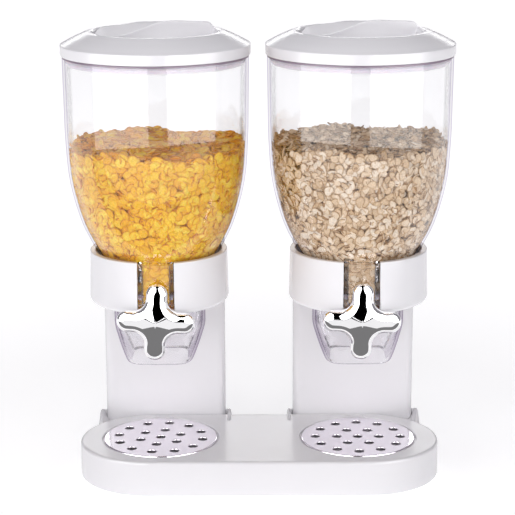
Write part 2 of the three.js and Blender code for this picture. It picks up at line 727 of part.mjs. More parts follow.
for (const { name, x, knobTurn, gripTurn, holeTurn } of SIDES) {
  const side = new THREE.Group();
  side.position.set(x, CANISTER_Y, 0);
  dispenser.add(side);

  piece(side, `column_${name}`, columnFront(), WHITE());
  piece(side, `column_back_${name}`, columnBack(), WHITE());
  for (const [place, z] of Object.entries(SCREW_HEIGHTS)) {
    piece(side, `column_screw_${name}_${place}`, coverScrew(z), STEEL());
  }

  piece(side, `canister_${name}`, canister(), clear());
  piece(side, `chamber_${name}`, chamber(), clear());
  const chamberSeal = ring(NECK_R + GAP, CUP_R - CHAMBER_WALL - GAP, CHAMBER_SEAL_Z, CHAMBER_SEAL_Z + SEAL_H);
  piece(side, `chamber_seal_${name}`, chamberSeal, SEAL());
  piece(side, `front_bush_${name}`, bush(-1), BUSH());
  piece(side, `rear_bush_${name}`, bush(1), BUSH());

  piece(side, `lid_${name}`, lidShell().add(grip().rotate([0, 0, gripTurn])), WHITE());
  const lidSeal = ring(SKIRT_R + GAP, SKIRT_R + SKIRT_T, LID_SEAL_Z, LID_SEAL_Z + SEAL_H);
  piece(side, `lid_seal_${name}`, lidSeal, SEAL());

  const rotor = new THREE.Group();
  rotor.position.z = SHAFT_Z;
  rotor.rotation.y = THREE.MathUtils.degToRad(knobTurn);
  side.add(rotor);
  const clip = ring(SHAFT_R + GAP, CLIP_R, 0, CLIP_T, SMALL).rotateX(-Math.PI / 2).translate(0, CLIP_Y, 0);
  piece(rotor, `shaft_${name}`, rod(0, 0, SHAFT_FRONT, SHAFT_REAR, SHAFT_R, RUNNING), STEEL());
  piece(rotor, `shaft_clip_${name}`, clip, STEEL());
  piece(rotor, `paddle_${name}`, paddle(), BLADE());
  piece(rotor, `knob_${name}`, knob(), CHROME());

  const lift = new THREE.Group();
  lift.position.set(grateX(x), GRATE_Y, 0);
  side.add(lift);
  piece(lift, `grate_${name}`, grate(holeTurn), STEEL());
}

export default dispenser;
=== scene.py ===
"""A twin dry-food dispenser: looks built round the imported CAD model, lights and camera."""

import math
import random

import bmesh
import bpy
import numpy as np
from mathutils import Matrix, Vector


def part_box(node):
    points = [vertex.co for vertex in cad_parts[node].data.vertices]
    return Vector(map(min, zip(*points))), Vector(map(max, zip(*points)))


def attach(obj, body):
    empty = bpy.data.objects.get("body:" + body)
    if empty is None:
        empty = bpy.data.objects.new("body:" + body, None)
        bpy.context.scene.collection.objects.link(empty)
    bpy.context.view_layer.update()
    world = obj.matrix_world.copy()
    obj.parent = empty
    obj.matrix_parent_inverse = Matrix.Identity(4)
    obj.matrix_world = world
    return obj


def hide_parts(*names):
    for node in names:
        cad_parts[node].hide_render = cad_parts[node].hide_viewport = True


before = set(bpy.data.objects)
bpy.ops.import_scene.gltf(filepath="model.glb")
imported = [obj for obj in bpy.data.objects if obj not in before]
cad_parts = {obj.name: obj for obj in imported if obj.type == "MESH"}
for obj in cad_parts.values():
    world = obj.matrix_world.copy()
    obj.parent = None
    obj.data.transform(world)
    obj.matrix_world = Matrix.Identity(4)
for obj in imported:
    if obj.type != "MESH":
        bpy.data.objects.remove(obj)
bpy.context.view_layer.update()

MM = 0.001
SIDES = ("left", "right")


# ---- Places taken from the frame, in millimetres ----

def low(node):
    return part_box(node)[0] / MM


def high(node):
    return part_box(node)[1] / MM


def middle(node):
    return (low(node) + high(node)) / 2


AXIS = {side: Vector((middle(f"shaft_{side}").x, middle(f"lid_{side}").y, 0)) for side in SIDES}
SHAFT_Z = middle("shaft_left").z
BASE_TOP = high("grate_left").z
BASE_UNDERSIDE = low("base_shell").z
SOCKET_TOP = high("base_shell").z
COLLAR_TOP = high("column_left").z
SPOUT_MOUTH = low("chamber_left").z
CHAMBER_TOP = high("chamber_left").z
NECK_BOTTOM = low("canister_left").z
CANISTER_MOUTH = high("canister_left").z
LID_R = high("lid_left").x - AXIS["left"].x
GRATE_R = (high("grate_left").x - low("grate_left").x) / 2
GRATE_AT = {side: middle(f"grate_{side}") - Vector((0, 0, middle(f"grate_{side}").z)) for side in SIDES}
KNOB_FRONT = low("knob_left").y - AXIS["left"].y
COLUMN_HALF_W = (high("column_back_left").x - low("column_back_left").x) / 2
COLUMN_REAR = high("column_back_left").y - AXIS["left"].y
COLUMN_SPLIT = low("column_back_left").y - AXIS["left"].y


def on_shaft(side, y=0.0):
    """A point on a side's shaft, so far behind the canister's axis."""
    return AXIS[side] + Vector((0, y, SHAFT_Z))


# ---- Mesh helpers: all sizes in millimetres ----

def arc(centre, radius, start, end, steps):
    """Points on an arc, with angles in degrees."""
    turns = np.radians(np.linspace(start, end, steps + 1))
    return [(centre[0] + radius * math.cos(t), centre[1] + radius * math.sin(t)) for t in turns]


def rounded(corners, steps=5):
    """A closed path through corners (x, y, radius), each one rounded to its radius."""
    path = []
    for i, (x, y, radius) in enumerate(corners):
        here = Vector((x, y))
        if not radius:
            path.append((x, y))
            continue
        a = (Vector(corners[i - 1][:2]) - here).normalized()
        b = (Vector(corners[(i + 1) % len(corners)][:2]) - here).normalized()
        half = a.angle(b) / 2
        centre = here + (a + b).normalized() * (radius / math.sin(half))
        first = here + a * (radius / math.tan(half)) - centre
        last = here + b * (radius / math.tan(half)) - centre
        sweep = math.atan2(first.x * last.y - first.y * last.x, first.dot(last))
        for k in range(steps + 1):
            spoke = Matrix.Rotation(sweep * k / steps, 2) @ first
            path.append(tuple(centre + spoke))
    return path


def oblong(half, front, rear, front_corner=0.0, rear_corner=0.0, steps=8):
    """A box in plan, the same on both sides of its middle, with rounded corners in front and behind."""
    return rounded([(-half, front, front_corner), (half, front, front_corner),
                    (half, rear, rear_corner), (-half, rear, rear_corner)], steps)


def inset(outline, distance):
    """A counter-clockwise outline moved inwards by a distance, point by point."""
    points = np.array(outline)
    back = points - np.roll(points, 1, axis=0)
    ahead = np.roll(points, -1, axis=0) - points
    back /= np.linalg.norm(back, axis=1)[:, None]
    ahead /= np.linalg.norm(ahead, axis=1)[:, None]
    normal = np.stack([-(back + ahead)[:, 1], (back + ahead)[:, 0]], axis=1)
    normal /= np.linalg.norm(normal, axis=1)[:, None]
    stretch = np.sqrt((1 + (back * ahead).sum(axis=1)) / 2)
    return points + normal * (distance / stretch)[:, None]


def into_scene(name, data):
    thing = bpy.data.objects.new(name, data)
    bpy.context.scene.collection.objects.link(thing)
    return thing


def new_object(name, vertices, faces, origin=(0, 0, 0), merge=True):
    mesh = bpy.data.meshes.new(name)
    place = Vector(origin)
    mesh.from_pydata([(Vector(v) + place) * MM for v in vertices], [], faces)
    tool = bmesh.new()
    tool.from_mesh(mesh)
    if merge:
        bmesh.ops.remove_doubles(tool, verts=tool.verts, dist=1e-6)
    bmesh.ops.recalc_face_normals(tool, faces=tool.faces)
    tool.to_mesh(mesh)
    tool.free()
    return into_scene(name, mesh)


def stack(name, rings, origin=(0, 0, 0)):
    """A closed solid through equal rings of points, with its first and last ring capped."""
    count = len(rings[0])
    vertices = [tuple(point) for ring in rings for point in ring]
    faces = []
    for k in range(len(rings) - 1):
        for i in range(count):
            j = (i + 1) % count
            faces.append((k * count + i, k * count + j, (k + 1) * count + j, (k + 1) * count + i))
    top = (len(rings) - 1) * count
    faces.append(tuple(reversed(range(count))))
    faces.append(tuple(range(top, top + count)))
    return new_object(name, vertices, faces, origin)


def prism(name, outline, bottom, top, round_bottom=0.0, round_top=0.0, origin=(0, 0, 0), steps=5,
          taper=0.0):
    """An outline in plan raised between two heights, with rounded edges. It widens by taper downwards."""
    levels = arc((round_bottom, bottom + round_bottom), round_bottom, 270, 180, steps)
    levels += arc((round_top, top - round_top), round_top, 180, 90, steps)
    rings = []
    seen = set()
    for margin, z in levels:
        if round(z, 4) in seen:
            continue
        seen.add(round(z, 4))
        lean = taper * (z - bottom) / (top - bottom)
        rings.append([(x, y, z) for x, y in inset(outline, margin + lean)])
    return stack(name, rings, origin)


def lathe(name, profile, origin=(0, 0, 0), segments=96, tilt=None):
    """A closed profile of (radius, height) turned round a vertical axis, or round the one tilt gives."""
    vertices = []
    spots = []
    for r, z in profile:
        if r < 1e-6:
            spots.append([len(vertices)] * segments)
            vertices.append((0, 0, z))
            continue
        spots.append(list(range(len(vertices), len(vertices) + segments)))
        for i in range(segments):
            turn = 2 * math.pi * i / segments
            vertices.append((r * math.cos(turn), r * math.sin(turn), z))
    faces = []
    for k in range(len(spots)):
        a, b = spots[k], spots[(k + 1) % len(spots)]
        for i in range(segments):
            j = (i + 1) % segments
            corner = list(dict.fromkeys((a[i], a[j], b[j], b[i])))
            if len(corner) > 2:
                faces.append(tuple(corner))
    if tilt:
        vertices = [tilt @ Vector(v) for v in vertices]
    return new_object(name, vertices, faces, origin)


def bake(thing):
    """Makes a thing's modifiers part of its mesh."""
    graph = bpy.context.evaluated_depsgraph_get()
    mesh = bpy.data.meshes.new_from_object(thing.evaluated_get(graph))
    thing.modifiers.clear()
    thing.data = mesh


def combine(thing, others, operation):
    for other in others:
        step = thing.modifiers.new(operation, "BOOLEAN")
        step.operation = operation
        step.solver = "EXACT"
        step.object = other
    bake(thing)
    for other in others:
        bpy.data.objects.remove(other)
    return thing


def join(thing, *others):
    return combine(thing, others, "UNION")


def cut(thing, *others):
    return combine(thing, others, "DIFFERENCE")


def soften(thing, angle):
    """Smooth shading that keeps real corners sharp and flat faces flat."""
    mesh = thing.data
    mesh.shade_smooth()
    mesh.set_sharp_from_angle(angle=math.radians(angle))
    weigh = thing.modifiers.new("normals", "WEIGHTED_NORMAL")
    weigh.keep_sharp = True
    weigh.weight = 80
    bake(thing)


def sweep_profile(points, steps):
    """A smooth curve through points."""
    points = [Vector(p) for p in points]
    ends = [2 * points[0] - points[1]] + points + [2 * points[-1] - points[-2]]
    curve = []
    for i in range(1, len(ends) - 2):
        a, b, c, d = ends[i - 1:i + 3]
        for k in range(steps):
            t = k / steps
            curve.append(tuple(0.5 * (2 * b + (c - a) * t + (2 * a - 5 * b + 4 * c - d) * t * t
                                      + (3 * b - 3 * c + d - a) * t ** 3)))
    curve.append(tuple(points[-1]))
    return curve


# Turns that lay a lathe's axis along +Y or -Y.
TO_REAR = Matrix.Rotation(math.radians(-90), 3, "X")
TO_FRONT = Matrix.Rotation(math.radians(90), 3, "X")


# ---- Materials ----

class Shader:
    """A material's node tree, written as calls."""

    def __init__(self, name):
        self.material = bpy.data.materials.new(name)
        self.material.use_nodes = True
        self.nodes = self.material.node_tree.nodes
        self.links = self.material.node_tree.links
        self.surface = self.nodes["Principled BSDF"]
        self.output = self.nodes["Material Output"]
        self.place = self.nodes.new("ShaderNodeTexCoord").outputs["Object"]

    def set(self, **values):
        for key, value in values.items():
            self.surface.inputs[key.replace("_", " ")].default_value = value

    def add(self, kind, **values):
        """A new node, with each value given to its setting or its input of that name."""
        node = self.nodes.new(kind)
        for key, value in values.items():
            if hasattr(node, key):
                setattr(node, key, value)
            else:
                node.inputs[key.replace("_", " ")].default_value = value
        return node

    def noise(self, per_metre, detail=3.0, roughness=0.5, stretch=(1, 1, 1)):
        scaled = self.add("ShaderNodeMapping", Scale=stretch)
        self.links.new(self.place, scaled.inputs["Vector"])
        node = self.add("ShaderNodeTexNoise", Scale=per_metre, Detail=detail, Roughness=roughness)
        self.links.new(scaled.outputs["Vector"], node.inputs["Vector"])
        return node.outputs["Fac"]

    def range(self, source, low_value, high_value, from_low=0.3, from_high=0.7):
        node = self.add("ShaderNodeMapRange", From_Min=from_low, From_Max=from_high, To_Min=low_value,
                        To_Max=high_value)
        self.links.new(source, node.inputs["Value"])
        return node.outputs["Result"]

    def blend(self, factor, first, second):
        node = self.nodes.new("ShaderNodeMix")
        node.data_type = "RGBA"
        self.links.new(factor, node.inputs["Factor"])
        for socket, value in (("A", first), ("B", second)):
            target = [s for s in node.inputs if s.name == socket and s.type == "RGBA"][0]
            if isinstance(value, tuple):
                target.default_value = (*value, 1)
            else:
                self.links.new(value, target)
        return [s for s in node.outputs if s.type == "RGBA"][0]

    def bump(self, height, distance, strength=1.0):
        node = self.add("ShaderNodeBump", Distance=distance, Strength=strength)
        self.links.new(height, node.inputs["Height"])
        self.links.new(node.outputs["Normal"], self.surface.inputs["Normal"])

    def feed(self, socket, source):
        self.links.new(source, self.surface.inputs[socket])


def moulded(name, pale, deep, roughness=(0.21, 0.25)):
    """Glossy moulded plastic with faint cloudiness and a moulding's slight orange peel."""
    s = Shader(name)
    s.set(IOR=1.5)
    s.feed("Base Color", s.blend(s.range(s.noise(22, 4), 0, 1), deep, pale))
    s.feed("Roughness", s.range(s.noise(60, 5, 0.6), *roughness))
    s.bump(s.noise(420, 2), 0.00002, 0.12)
    return s.material


def metal(name, colour, roughness, grain, stretch=(1, 1, 1)):
    s = Shader(name)
    s.set(Metallic=1.0)
    dull = tuple(0.94 * c for c in colour)
    s.feed("Base Color", s.blend(s.range(s.noise(35, 4), 0, 1), dull, colour))
    s.feed("Roughness", s.range(s.noise(grain, 5, 0.6, stretch), *roughness))
    s.bump(s.noise(grain * 2, 3, 0.5, stretch), 0.000004, 0.3)
    return s.material


def clear(name, tint, edge, turn, roughness):
    """Clear plastic with real walls. It refracts face-on and becomes a deepening tint towards its edges,
    partly the plastic's real tint and partly painted shade for the dark edges of clear walls seen edge-on.
    Shadow rays and diffuse rays pass through unbent."""
    s = Shader(name)
    s.set(IOR=1.49, Transmission_Weight=1.0)
    pale = tuple(min(1.0, 1.01 * c) for c in tint)
    s.feed("Base Color", s.blend(s.range(s.noise(12, 2), 0, 1), tint, pale))
    s.feed("Roughness", s.range(s.noise(70, 4, 0.6), *roughness))
    s.bump(s.noise(26, 1), 0.00003, 0.15)
    facing = s.add("ShaderNodeLayerWeight", Blend=0.5).outputs["Facing"]
    passed = s.add("ShaderNodeBsdfTransparent")
    edge_tint_and_painted_shade = s.blend(s.range(facing, 0, 1, turn, 0.97), (0.99, 0.99, 0.99), edge)
    s.links.new(edge_tint_and_painted_shade, passed.inputs["Color"])
    path = s.nodes.new("ShaderNodeLightPath")
    factor = s.range(facing, 0, 1, turn - 0.1, turn + 0.05)
    for ray in ("Is Shadow Ray", "Is Diffuse Ray"):
        either = s.add("ShaderNodeMath", operation="MAXIMUM")
        s.links.new(factor, either.inputs[0])
        s.links.new(path.outputs[ray], either.inputs[1])
        factor = either.outputs[0]
    mix = s.add("ShaderNodeMixShader")
    s.links.new(factor, mix.inputs["Fac"])
    s.links.new(s.surface.outputs[0], mix.inputs[1])
    s.links.new(passed.outputs[0], mix.inputs[2])
    s.links.new(mix.outputs[0], s.output.inputs["Surface"])
    return s.material


def rubbery(name, pale, deep, roughness, translucence=0.0):
    s = Shader(name)
    s.set(Subsurface_Weight=translucence, Subsurface_Scale=0.002)
    s.feed("Base Color", s.blend(s.range(s.noise(90, 4), 0, 1), deep, pale))
    s.feed("Roughness", s.range(s.noise(150, 4), *roughness))
    s.bump(s.noise(900, 3), 0.00003, 0.4)
    return s.material


def flake_skin(name, shades, roughness, grain, depth):
    """Dry food: each flake takes a tone from its shade value, which also holds painted shade on deeper flakes
    and along flake edges, with a mottled, finely pitted surface.
    """
    s = Shader(name)
    s.set(IOR=1.4, Specular_IOR_Level=0.3)
    tone_and_shade = s.add("ShaderNodeAttribute", attribute_name="shade")
    ramp = s.nodes.new("ShaderNodeValToRGB")
    while len(ramp.color_ramp.elements) < len(shades):
        ramp.color_ramp.elements.new(0.5)
    for k, colour in enumerate(shades):
        ramp.color_ramp.elements[k].position = k / (len(shades) - 1)
        ramp.color_ramp.elements[k].color = (*colour, 1)
    s.links.new(tone_and_shade.outputs["Fac"], ramp.inputs["Fac"])
    dark = s.add("ShaderNodeHueSaturation", Saturation=1.05, Value=0.78)
    s.links.new(ramp.outputs["Color"], dark.inputs["Color"])
    mottle = s.range(s.noise(grain, 4, 0.6), 0, 1, 0.35, 0.65)
    s.feed("Base Color", s.blend(mottle, dark.outputs["Color"], ramp.outputs["Color"]))
    s.feed("Roughness", s.range(s.noise(grain * 2, 3), *roughness))
    s.bump(s.noise(grain * 1.6, 4, 0.6), depth, 0.7)
    return s.material


WHITE = moulded("gloss_white_plastic", (0.81, 0.802, 0.822), (0.80, 0.79, 0.812))
# The third colour of each is the edge tint: partly the plastic's real tint, partly painted shade at the
# edges.
CANISTER = clear("clear_canister_plastic", (0.935, 0.935, 0.94), (0.7, 0.68, 0.73), 0.72, (0.0, 0.01))
CHAMBER = clear("clear_chamber_plastic", (0.96, 0.955, 0.97), (0.6, 0.55, 0.64), 0.55, (0.0, 0.02))
SEAL = rubbery("silicone_seal", (0.72, 0.66, 0.74), (0.62, 0.56, 0.65), (0.35, 0.5), 0.2)
BUSH = moulded("satin_white_bush", (0.78, 0.78, 0.79), (0.72, 0.72, 0.74), (0.35, 0.5))
# A dark lilac band for the canister's top edge: painted shadow of the lid's rim.
RIM_PAINTED_SHADOW = moulded("painted_rim_shadow", (0.26, 0.2, 0.26), (0.22, 0.17, 0.22), (0.3, 0.4))
PADDLE = rubbery("silicone_paddle", (0.78, 0.76, 0.72), (0.7, 0.68, 0.64), (0.4, 0.55), 0.25)
CHROME = metal("mirror_chrome", (0.95, 0.95, 0.96), (0.015, 0.045), 60)
GRATE = metal("polished_grate", (0.85, 0.81, 0.865), (0.1, 0.15), 300)
STEEL = metal("turned_steel", (0.62, 0.62, 0.63), (0.22, 0.36), 500, (1, 12, 1))
RUBBER = rubbery("dark_foot_rubber", (0.06, 0.06, 0.065), (0.03, 0.03, 0.034), (0.6, 0.8))
YELLOWS = ((0.42, 0.11, 0.002), (0.86, 0.36, 0.006), (0.96, 0.54, 0.012), (0.98, 0.7, 0.08))
BROWNS = ((0.16, 0.07, 0.025), (0.5, 0.3, 0.14), (0.8, 0.6, 0.4), (0.92, 0.8, 0.66))
FLAKE = flake_skin("yellow_flakes", YELLOWS, (0.35, 0.55), 700, 0.00008)
OAT = flake_skin("rolled_oats", BROWNS, (0.55, 0.8), 900, 0.00015)


def dress(thing, material):
    thing.data.materials.clear()
    thing.data.materials.append(material)


def place(thing, material, body, slot):
    """Gives a piece its material and its body. The slot is not used."""
    dress(thing, material)
    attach(thing, body)


def finish(thing, material, body, slot, node, angle=32):
    """Smooths a piece, places it, and lets it stand for its CAD node."""
    soften(thing, angle)
    place(thing, material, body, slot)
    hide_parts(node)


# ---- Base ----

BASE_Y = AXIS["left"].y + 3.5
BASE_R = BASE_Y - low("base_shell").y
BASE_STRAIGHT = high("base_shell").x - BASE_R
BASE_EDGE = 2.6
BASE_WALL = 2.6
BASE_ROOF = 2.3
SOCKET_HALF_W = 58.0
SOCKET_FRONT = 36.0
SOCKET_CREST = 60.0
SOCKET_REAR = high("base_shell").y - AXIS["left"].y
SOCKET_REAR_TOP = 22.0
SOCKET_EDGE = 2.0
DIP_FLOOR = 24.0
WELL_R = 46.5
WELL_FLOOR = 9.0
LEDGE_DEPTH = 2.4
LEDGE_PLAY = 1.4
NOTCH_HALF_W = 9.0
COLUMN_FRONT = 65.0
COLUMN_CORNER = 7.0
COLUMN_FOOT = 7.0
PLAY = 0.3


def stadium(radius):
    right = arc((BASE_STRAIGHT, BASE_Y), radius, -90, 90, 48)
    left = arc((-BASE_STRAIGHT, BASE_Y), radius, 90, 270, 48)
    return right + left


def flared_pit(name, radius, floor, top, flare, origin):
    """A round cutter whose top opens out, so that the edge it cuts comes out rounded."""
    profile = [(0, floor), (radius, floor)] + arc((radius + flare, top - flare), flare, 180, 90, 5)
    return lathe(name, profile + [(radius + flare, top + 2), (0, top + 2)], origin, 128)


def socket_block(origin):
    """The block that holds a column's foot. Its cheeks ramp up to the column's front, then down again."""
    side = rounded([
        (SOCKET_FRONT - 4, BASE_UNDERSIDE, 0),
        (SOCKET_REAR, BASE_UNDERSIDE, 1),
        (SOCKET_REAR, SOCKET_REAR_TOP, 3),
        (COLUMN_FRONT + 1, SOCKET_TOP, 9),
        (SOCKET_CREST - 3, SOCKET_TOP, 9),
        (SOCKET_FRONT - 4, BASE_TOP - 6, 0),
    ], 8)
    ends = arc((SOCKET_EDGE - SOCKET_HALF_W, SOCKET_EDGE), SOCKET_EDGE, 180, 270, 6)
    ends += [(-x, margin) for x, margin in reversed(ends)]
    rings = [[(x, y, z) for y, z in inset(side, margin)] for x, margin in ends]
    return stack("socket", rings, origin)


def dip(origin):
    """The hollow between a socket's cheeks, which widens upwards in a soft curve."""
    wall = ((57.2, 39.0), (56.4, 34.6), (55.4, 31.6), (54.0, 28.4), (52.4, 25.8), (50.4, 24.4),
            (47.5, DIP_FLOOR))
    section = [(-x, z) for x, z in wall] + list(reversed(wall))
    ends = (SOCKET_FRONT - 8, COLUMN_FRONT + COLUMN_CORNER + 1)
    return stack("dip", [[(x, y, z) for x, z in section] for y in ends], origin)


def build_base():
    """The base with its sockets, hollowed from below, with a well and a ledge under each grate."""
    sockets = [cut(socket_block(AXIS[side]), dip(AXIS[side])) for side in SIDES]
    base = join(prism("base", stadium(BASE_R), BASE_UNDERSIDE, BASE_TOP, 0.8, BASE_EDGE), *sockets)
    roof = BASE_UNDERSIDE + BASE_ROOF
    cutters = [prism("underside", stadium(BASE_R - BASE_WALL), -1, roof, 0, 0.2)]
    for side in SIDES:
        origin, well = AXIS[side], GRATE_AT[side]
        wing = oblong(SOCKET_HALF_W - BASE_WALL, SOCKET_FRONT + BASE_WALL, SOCKET_REAR - BASE_WALL)
        notch = oblong(NOTCH_HALF_W, GRATE_R - 4, GRATE_R + 3.4, 0, 1.5, 5)
        pocket = oblong(COLUMN_HALF_W + PLAY, COLUMN_FRONT - PLAY, COLUMN_REAR + PLAY,
                        COLUMN_CORNER, COLUMN_CORNER)
        cutters += [
            prism("wing", wing, -1.2, roof + 0.05, 0, 0.2, origin),
            flared_pit("well", WELL_R, WELL_FLOOR, BASE_TOP - LEDGE_DEPTH - 0.2, 0.6, well),
            flared_pit("ledge", GRATE_R + LEDGE_PLAY, BASE_TOP - LEDGE_DEPTH, BASE_TOP, 0.8, well),
            prism("notch", notch, BASE_TOP - LEDGE_DEPTH + 0.2, BASE_TOP + 2, 0.4, 0, well),
            prism("pocket", pocket, COLUMN_FOOT, SOCKET_TOP + 3, 0, 0, origin),
        ]
    cut(base, *cutters)
    finish(base, WHITE, "stand", "white_plastic", "base_shell")


# ---- Columns with their collars ----

COLLAR_BOTTOM = 155.2
COLLAR_R = 57.9
COLLAR_BORE = 52.0
COLLAR_SLOT = 29.5
COLLAR_TAPER = 1.1
COLLAR_EDGE = 4.6
HEAD_HALF_W = COLUMN_HALF_W - 0.2
SLOT_LIP = 1.2
SCREW_BORE_R = 3.65


def build_column(side):
    origin = AXIS[side]
    column = prism("column", oblong(COLUMN_HALF_W, COLUMN_FRONT, COLUMN_SPLIT - PLAY, COLUMN_CORNER, 0),
                   COLUMN_FOOT + PLAY, COLLAR_TOP - 0.2, 0, 0, origin)
    opening = math.degrees(math.acos(HEAD_HALF_W / COLLAR_R))
    shoulder = COLLAR_R * math.sin(math.radians(opening)) + 3
    head_plan = arc((0, 0), COLLAR_R, -180 - opening + 1.5, opening - 1.5, 96)
    head_plan += [(HEAD_HALF_W, shoulder), (HEAD_HALF_W, COLUMN_SPLIT - PLAY),
                  (-HEAD_HALF_W, COLUMN_SPLIT - PLAY), (-HEAD_HALF_W, shoulder)]
    head = prism("head", head_plan, COLLAR_BOTTOM, COLLAR_TOP, COLLAR_EDGE, 1.0, origin, 7, COLLAR_TAPER)
    join(column, head)
    half = COLLAR_SLOT / 2
    front = -math.sqrt(COLLAR_R ** 2 - half ** 2)
    edge = arc((half + SLOT_LIP, front + SLOT_LIP), SLOT_LIP, 180, 270, 5)
    outline = [(half, 0), (-half, 0)] + [(-x, y) for x, y in edge]
    outline += [(-half - SLOT_LIP, front - 8), (half + SLOT_LIP, front - 8)] + edge[::-1]
    cut(column, flared_pit("bore", COLLAR_BORE, COLLAR_BOTTOM - 3, COLLAR_TOP, 1.0, origin),
        prism("slot", outline, COLLAR_BOTTOM - 4, COLLAR_TOP + 4, 0, 0, origin))
    column.name = f"column_with_collar_{side}"
    finish(column, WHITE, "stand", "white_plastic", f"column_{side}")

    back = prism(f"column_cover_{side}", oblong(COLUMN_HALF_W, COLUMN_SPLIT, COLUMN_REAR, 0, COLUMN_CORNER),
                 COLUMN_FOOT + PLAY, COLLAR_TOP, 0, 1.0, origin)
    r = SCREW_BORE_R
    profile = [(0, 0), (r, 0), (r, 3.6), (r + 0.6, 4.2), (r + 0.6, 6), (0, 6)]
    bores = []
    for level in ("lower", "upper"):
        at = origin + Vector((0, COLUMN_REAR - 4, middle(f"column_screw_{side}_{level}").z))
        bores.append(lathe("bore", profile, at, 48, TO_REAR))
    cut(back, *bores)
    finish(back, WHITE, "stand", "white_plastic", f"column_back_{side}")


# ---- Canister and chamber ----

CANISTER_WALL = 2.0
CHAMBER_WALL = 2.2
NECK_R = 38.0
CUP_R = 43.3
WINDOW_FRONT = -55.5
WINDOW_WALL = 3.0
WINDOW_REAR = -28.0
BELLY = ((42, 181), (49.8, 195.4), (62.6, 220.9), (71.7, 254.7), (74.6, 288), (75.2, 321), (75.7, 359.3))
BOSS_R = 9.0
WAIST = 136.0
SPOUT_HALF = 24.2
# The spout's half width, height and roundness: 2 is a circle, 4 a rounded square.
SPOUT = ((26.6, SPOUT_MOUTH + 0.8, 4), (27.6, 105.6, 4), (29.3, 109, 3.6), (32.8, 117.5, 2.8),
         (35.7, 126, 2.3), (37.4, 131.5, 2.1), (38, WAIST, 2))
RIM_SHADE = 1.35
SHAFT_BORE_R = 6.05


def belly_outline():
    """The canister's outside, as (radius, height) from the neck up."""
    swept = sweep_profile(BELLY, 6)
    under_rim = (swept[-1][0] - 0.02, swept[-1][1] - 1.4)
    return [(NECK_R, NECK_BOTTOM), (NECK_R, 174)] + swept[:-1] + [under_rim, swept[-1]]


def window(name, bottom, top, rear, wall, origin):
    """The flat box behind a collar's slot, or with a wall the hollow inside it."""
    half = COLLAR_SLOT / 2 - PLAY - wall
    outline = oblong(half, WINDOW_FRONT + wall, rear, 0.9 if wall == 0 else 0.6, 0, 4)
    return prism(name, outline, bottom, top, 0, 0, origin)


def build_canister(side):
    origin = AXIS[side]
    outer = belly_outline()
    mouth = CANISTER_MOUTH
    r = outer[-1][0]
    shell = [(0, NECK_BOTTOM)] + outer[:-1]
    shell += [(r, mouth - 0.6), (r - 0.2, mouth - 0.15), (r - 0.6, mouth), (0, mouth)]
    solid = lathe(f"canister_shell_{side}", shell, origin, 128)
    join(solid, window("window", CHAMBER_TOP + PLAY, COLLAR_TOP - PLAY, WINDOW_REAR - 1, 0, origin))
    inner = [(r - CANISTER_WALL, z) for r, z in outer]
    hollow = [(0, NECK_BOTTOM - 1), (inner[0][0], NECK_BOTTOM - 1)] + inner
    hollow += [(inner[-1][0], mouth + 1), (0, mouth + 1)]
    box_top = COLLAR_TOP - PLAY - CANISTER_WALL
    cut(solid, lathe("hollow", hollow, origin, 128),
        window("hollow", CHAMBER_TOP - 2, box_top, WINDOW_REAR, WINDOW_WALL, origin))
    finish(solid, CANISTER, f"canister_{side}_body", "clear_canister", f"canister_{side}")
    # Faces in the top RIM_SHADE millimetres take the dark band: painted shadow under the lid's rim.
    solid.data.materials.append(RIM_PAINTED_SHADOW)
    for face in solid.data.polygons:
        face.material_index = int(face.center.z > (mouth - RIM_SHADE) * MM)


def lofted(name, sections, origin):
    """A solid through sections about the axis, from the bottom up: half width, height and roundness."""
    rings = []
    for half, z, roundness in sections:
        ring = []
        for t in np.linspace(0, 2 * math.pi, 128, endpoint=False):
            c, s = math.cos(t), math.sin(t)
            reach = half / (abs(c) ** roundness + abs(s) ** roundness) ** (1 / roundness)
            ring.append((reach * c, reach * s, z))
        rings.append(ring)
    return stack(name, rings, origin)


def spout_sections(margin):
    """Sections of the spout, from a rounded square at the mouth to a circle at the waist."""
    halves = sweep_profile([(half, z) for half, z, _ in SPOUT], 4)
    heights = [z for _, z, _ in SPOUT]
    roundness = [n for _, _, n in SPOUT]
    return [(half - margin, z, float(np.interp(z, heights, roundness))) for half, z in halves]


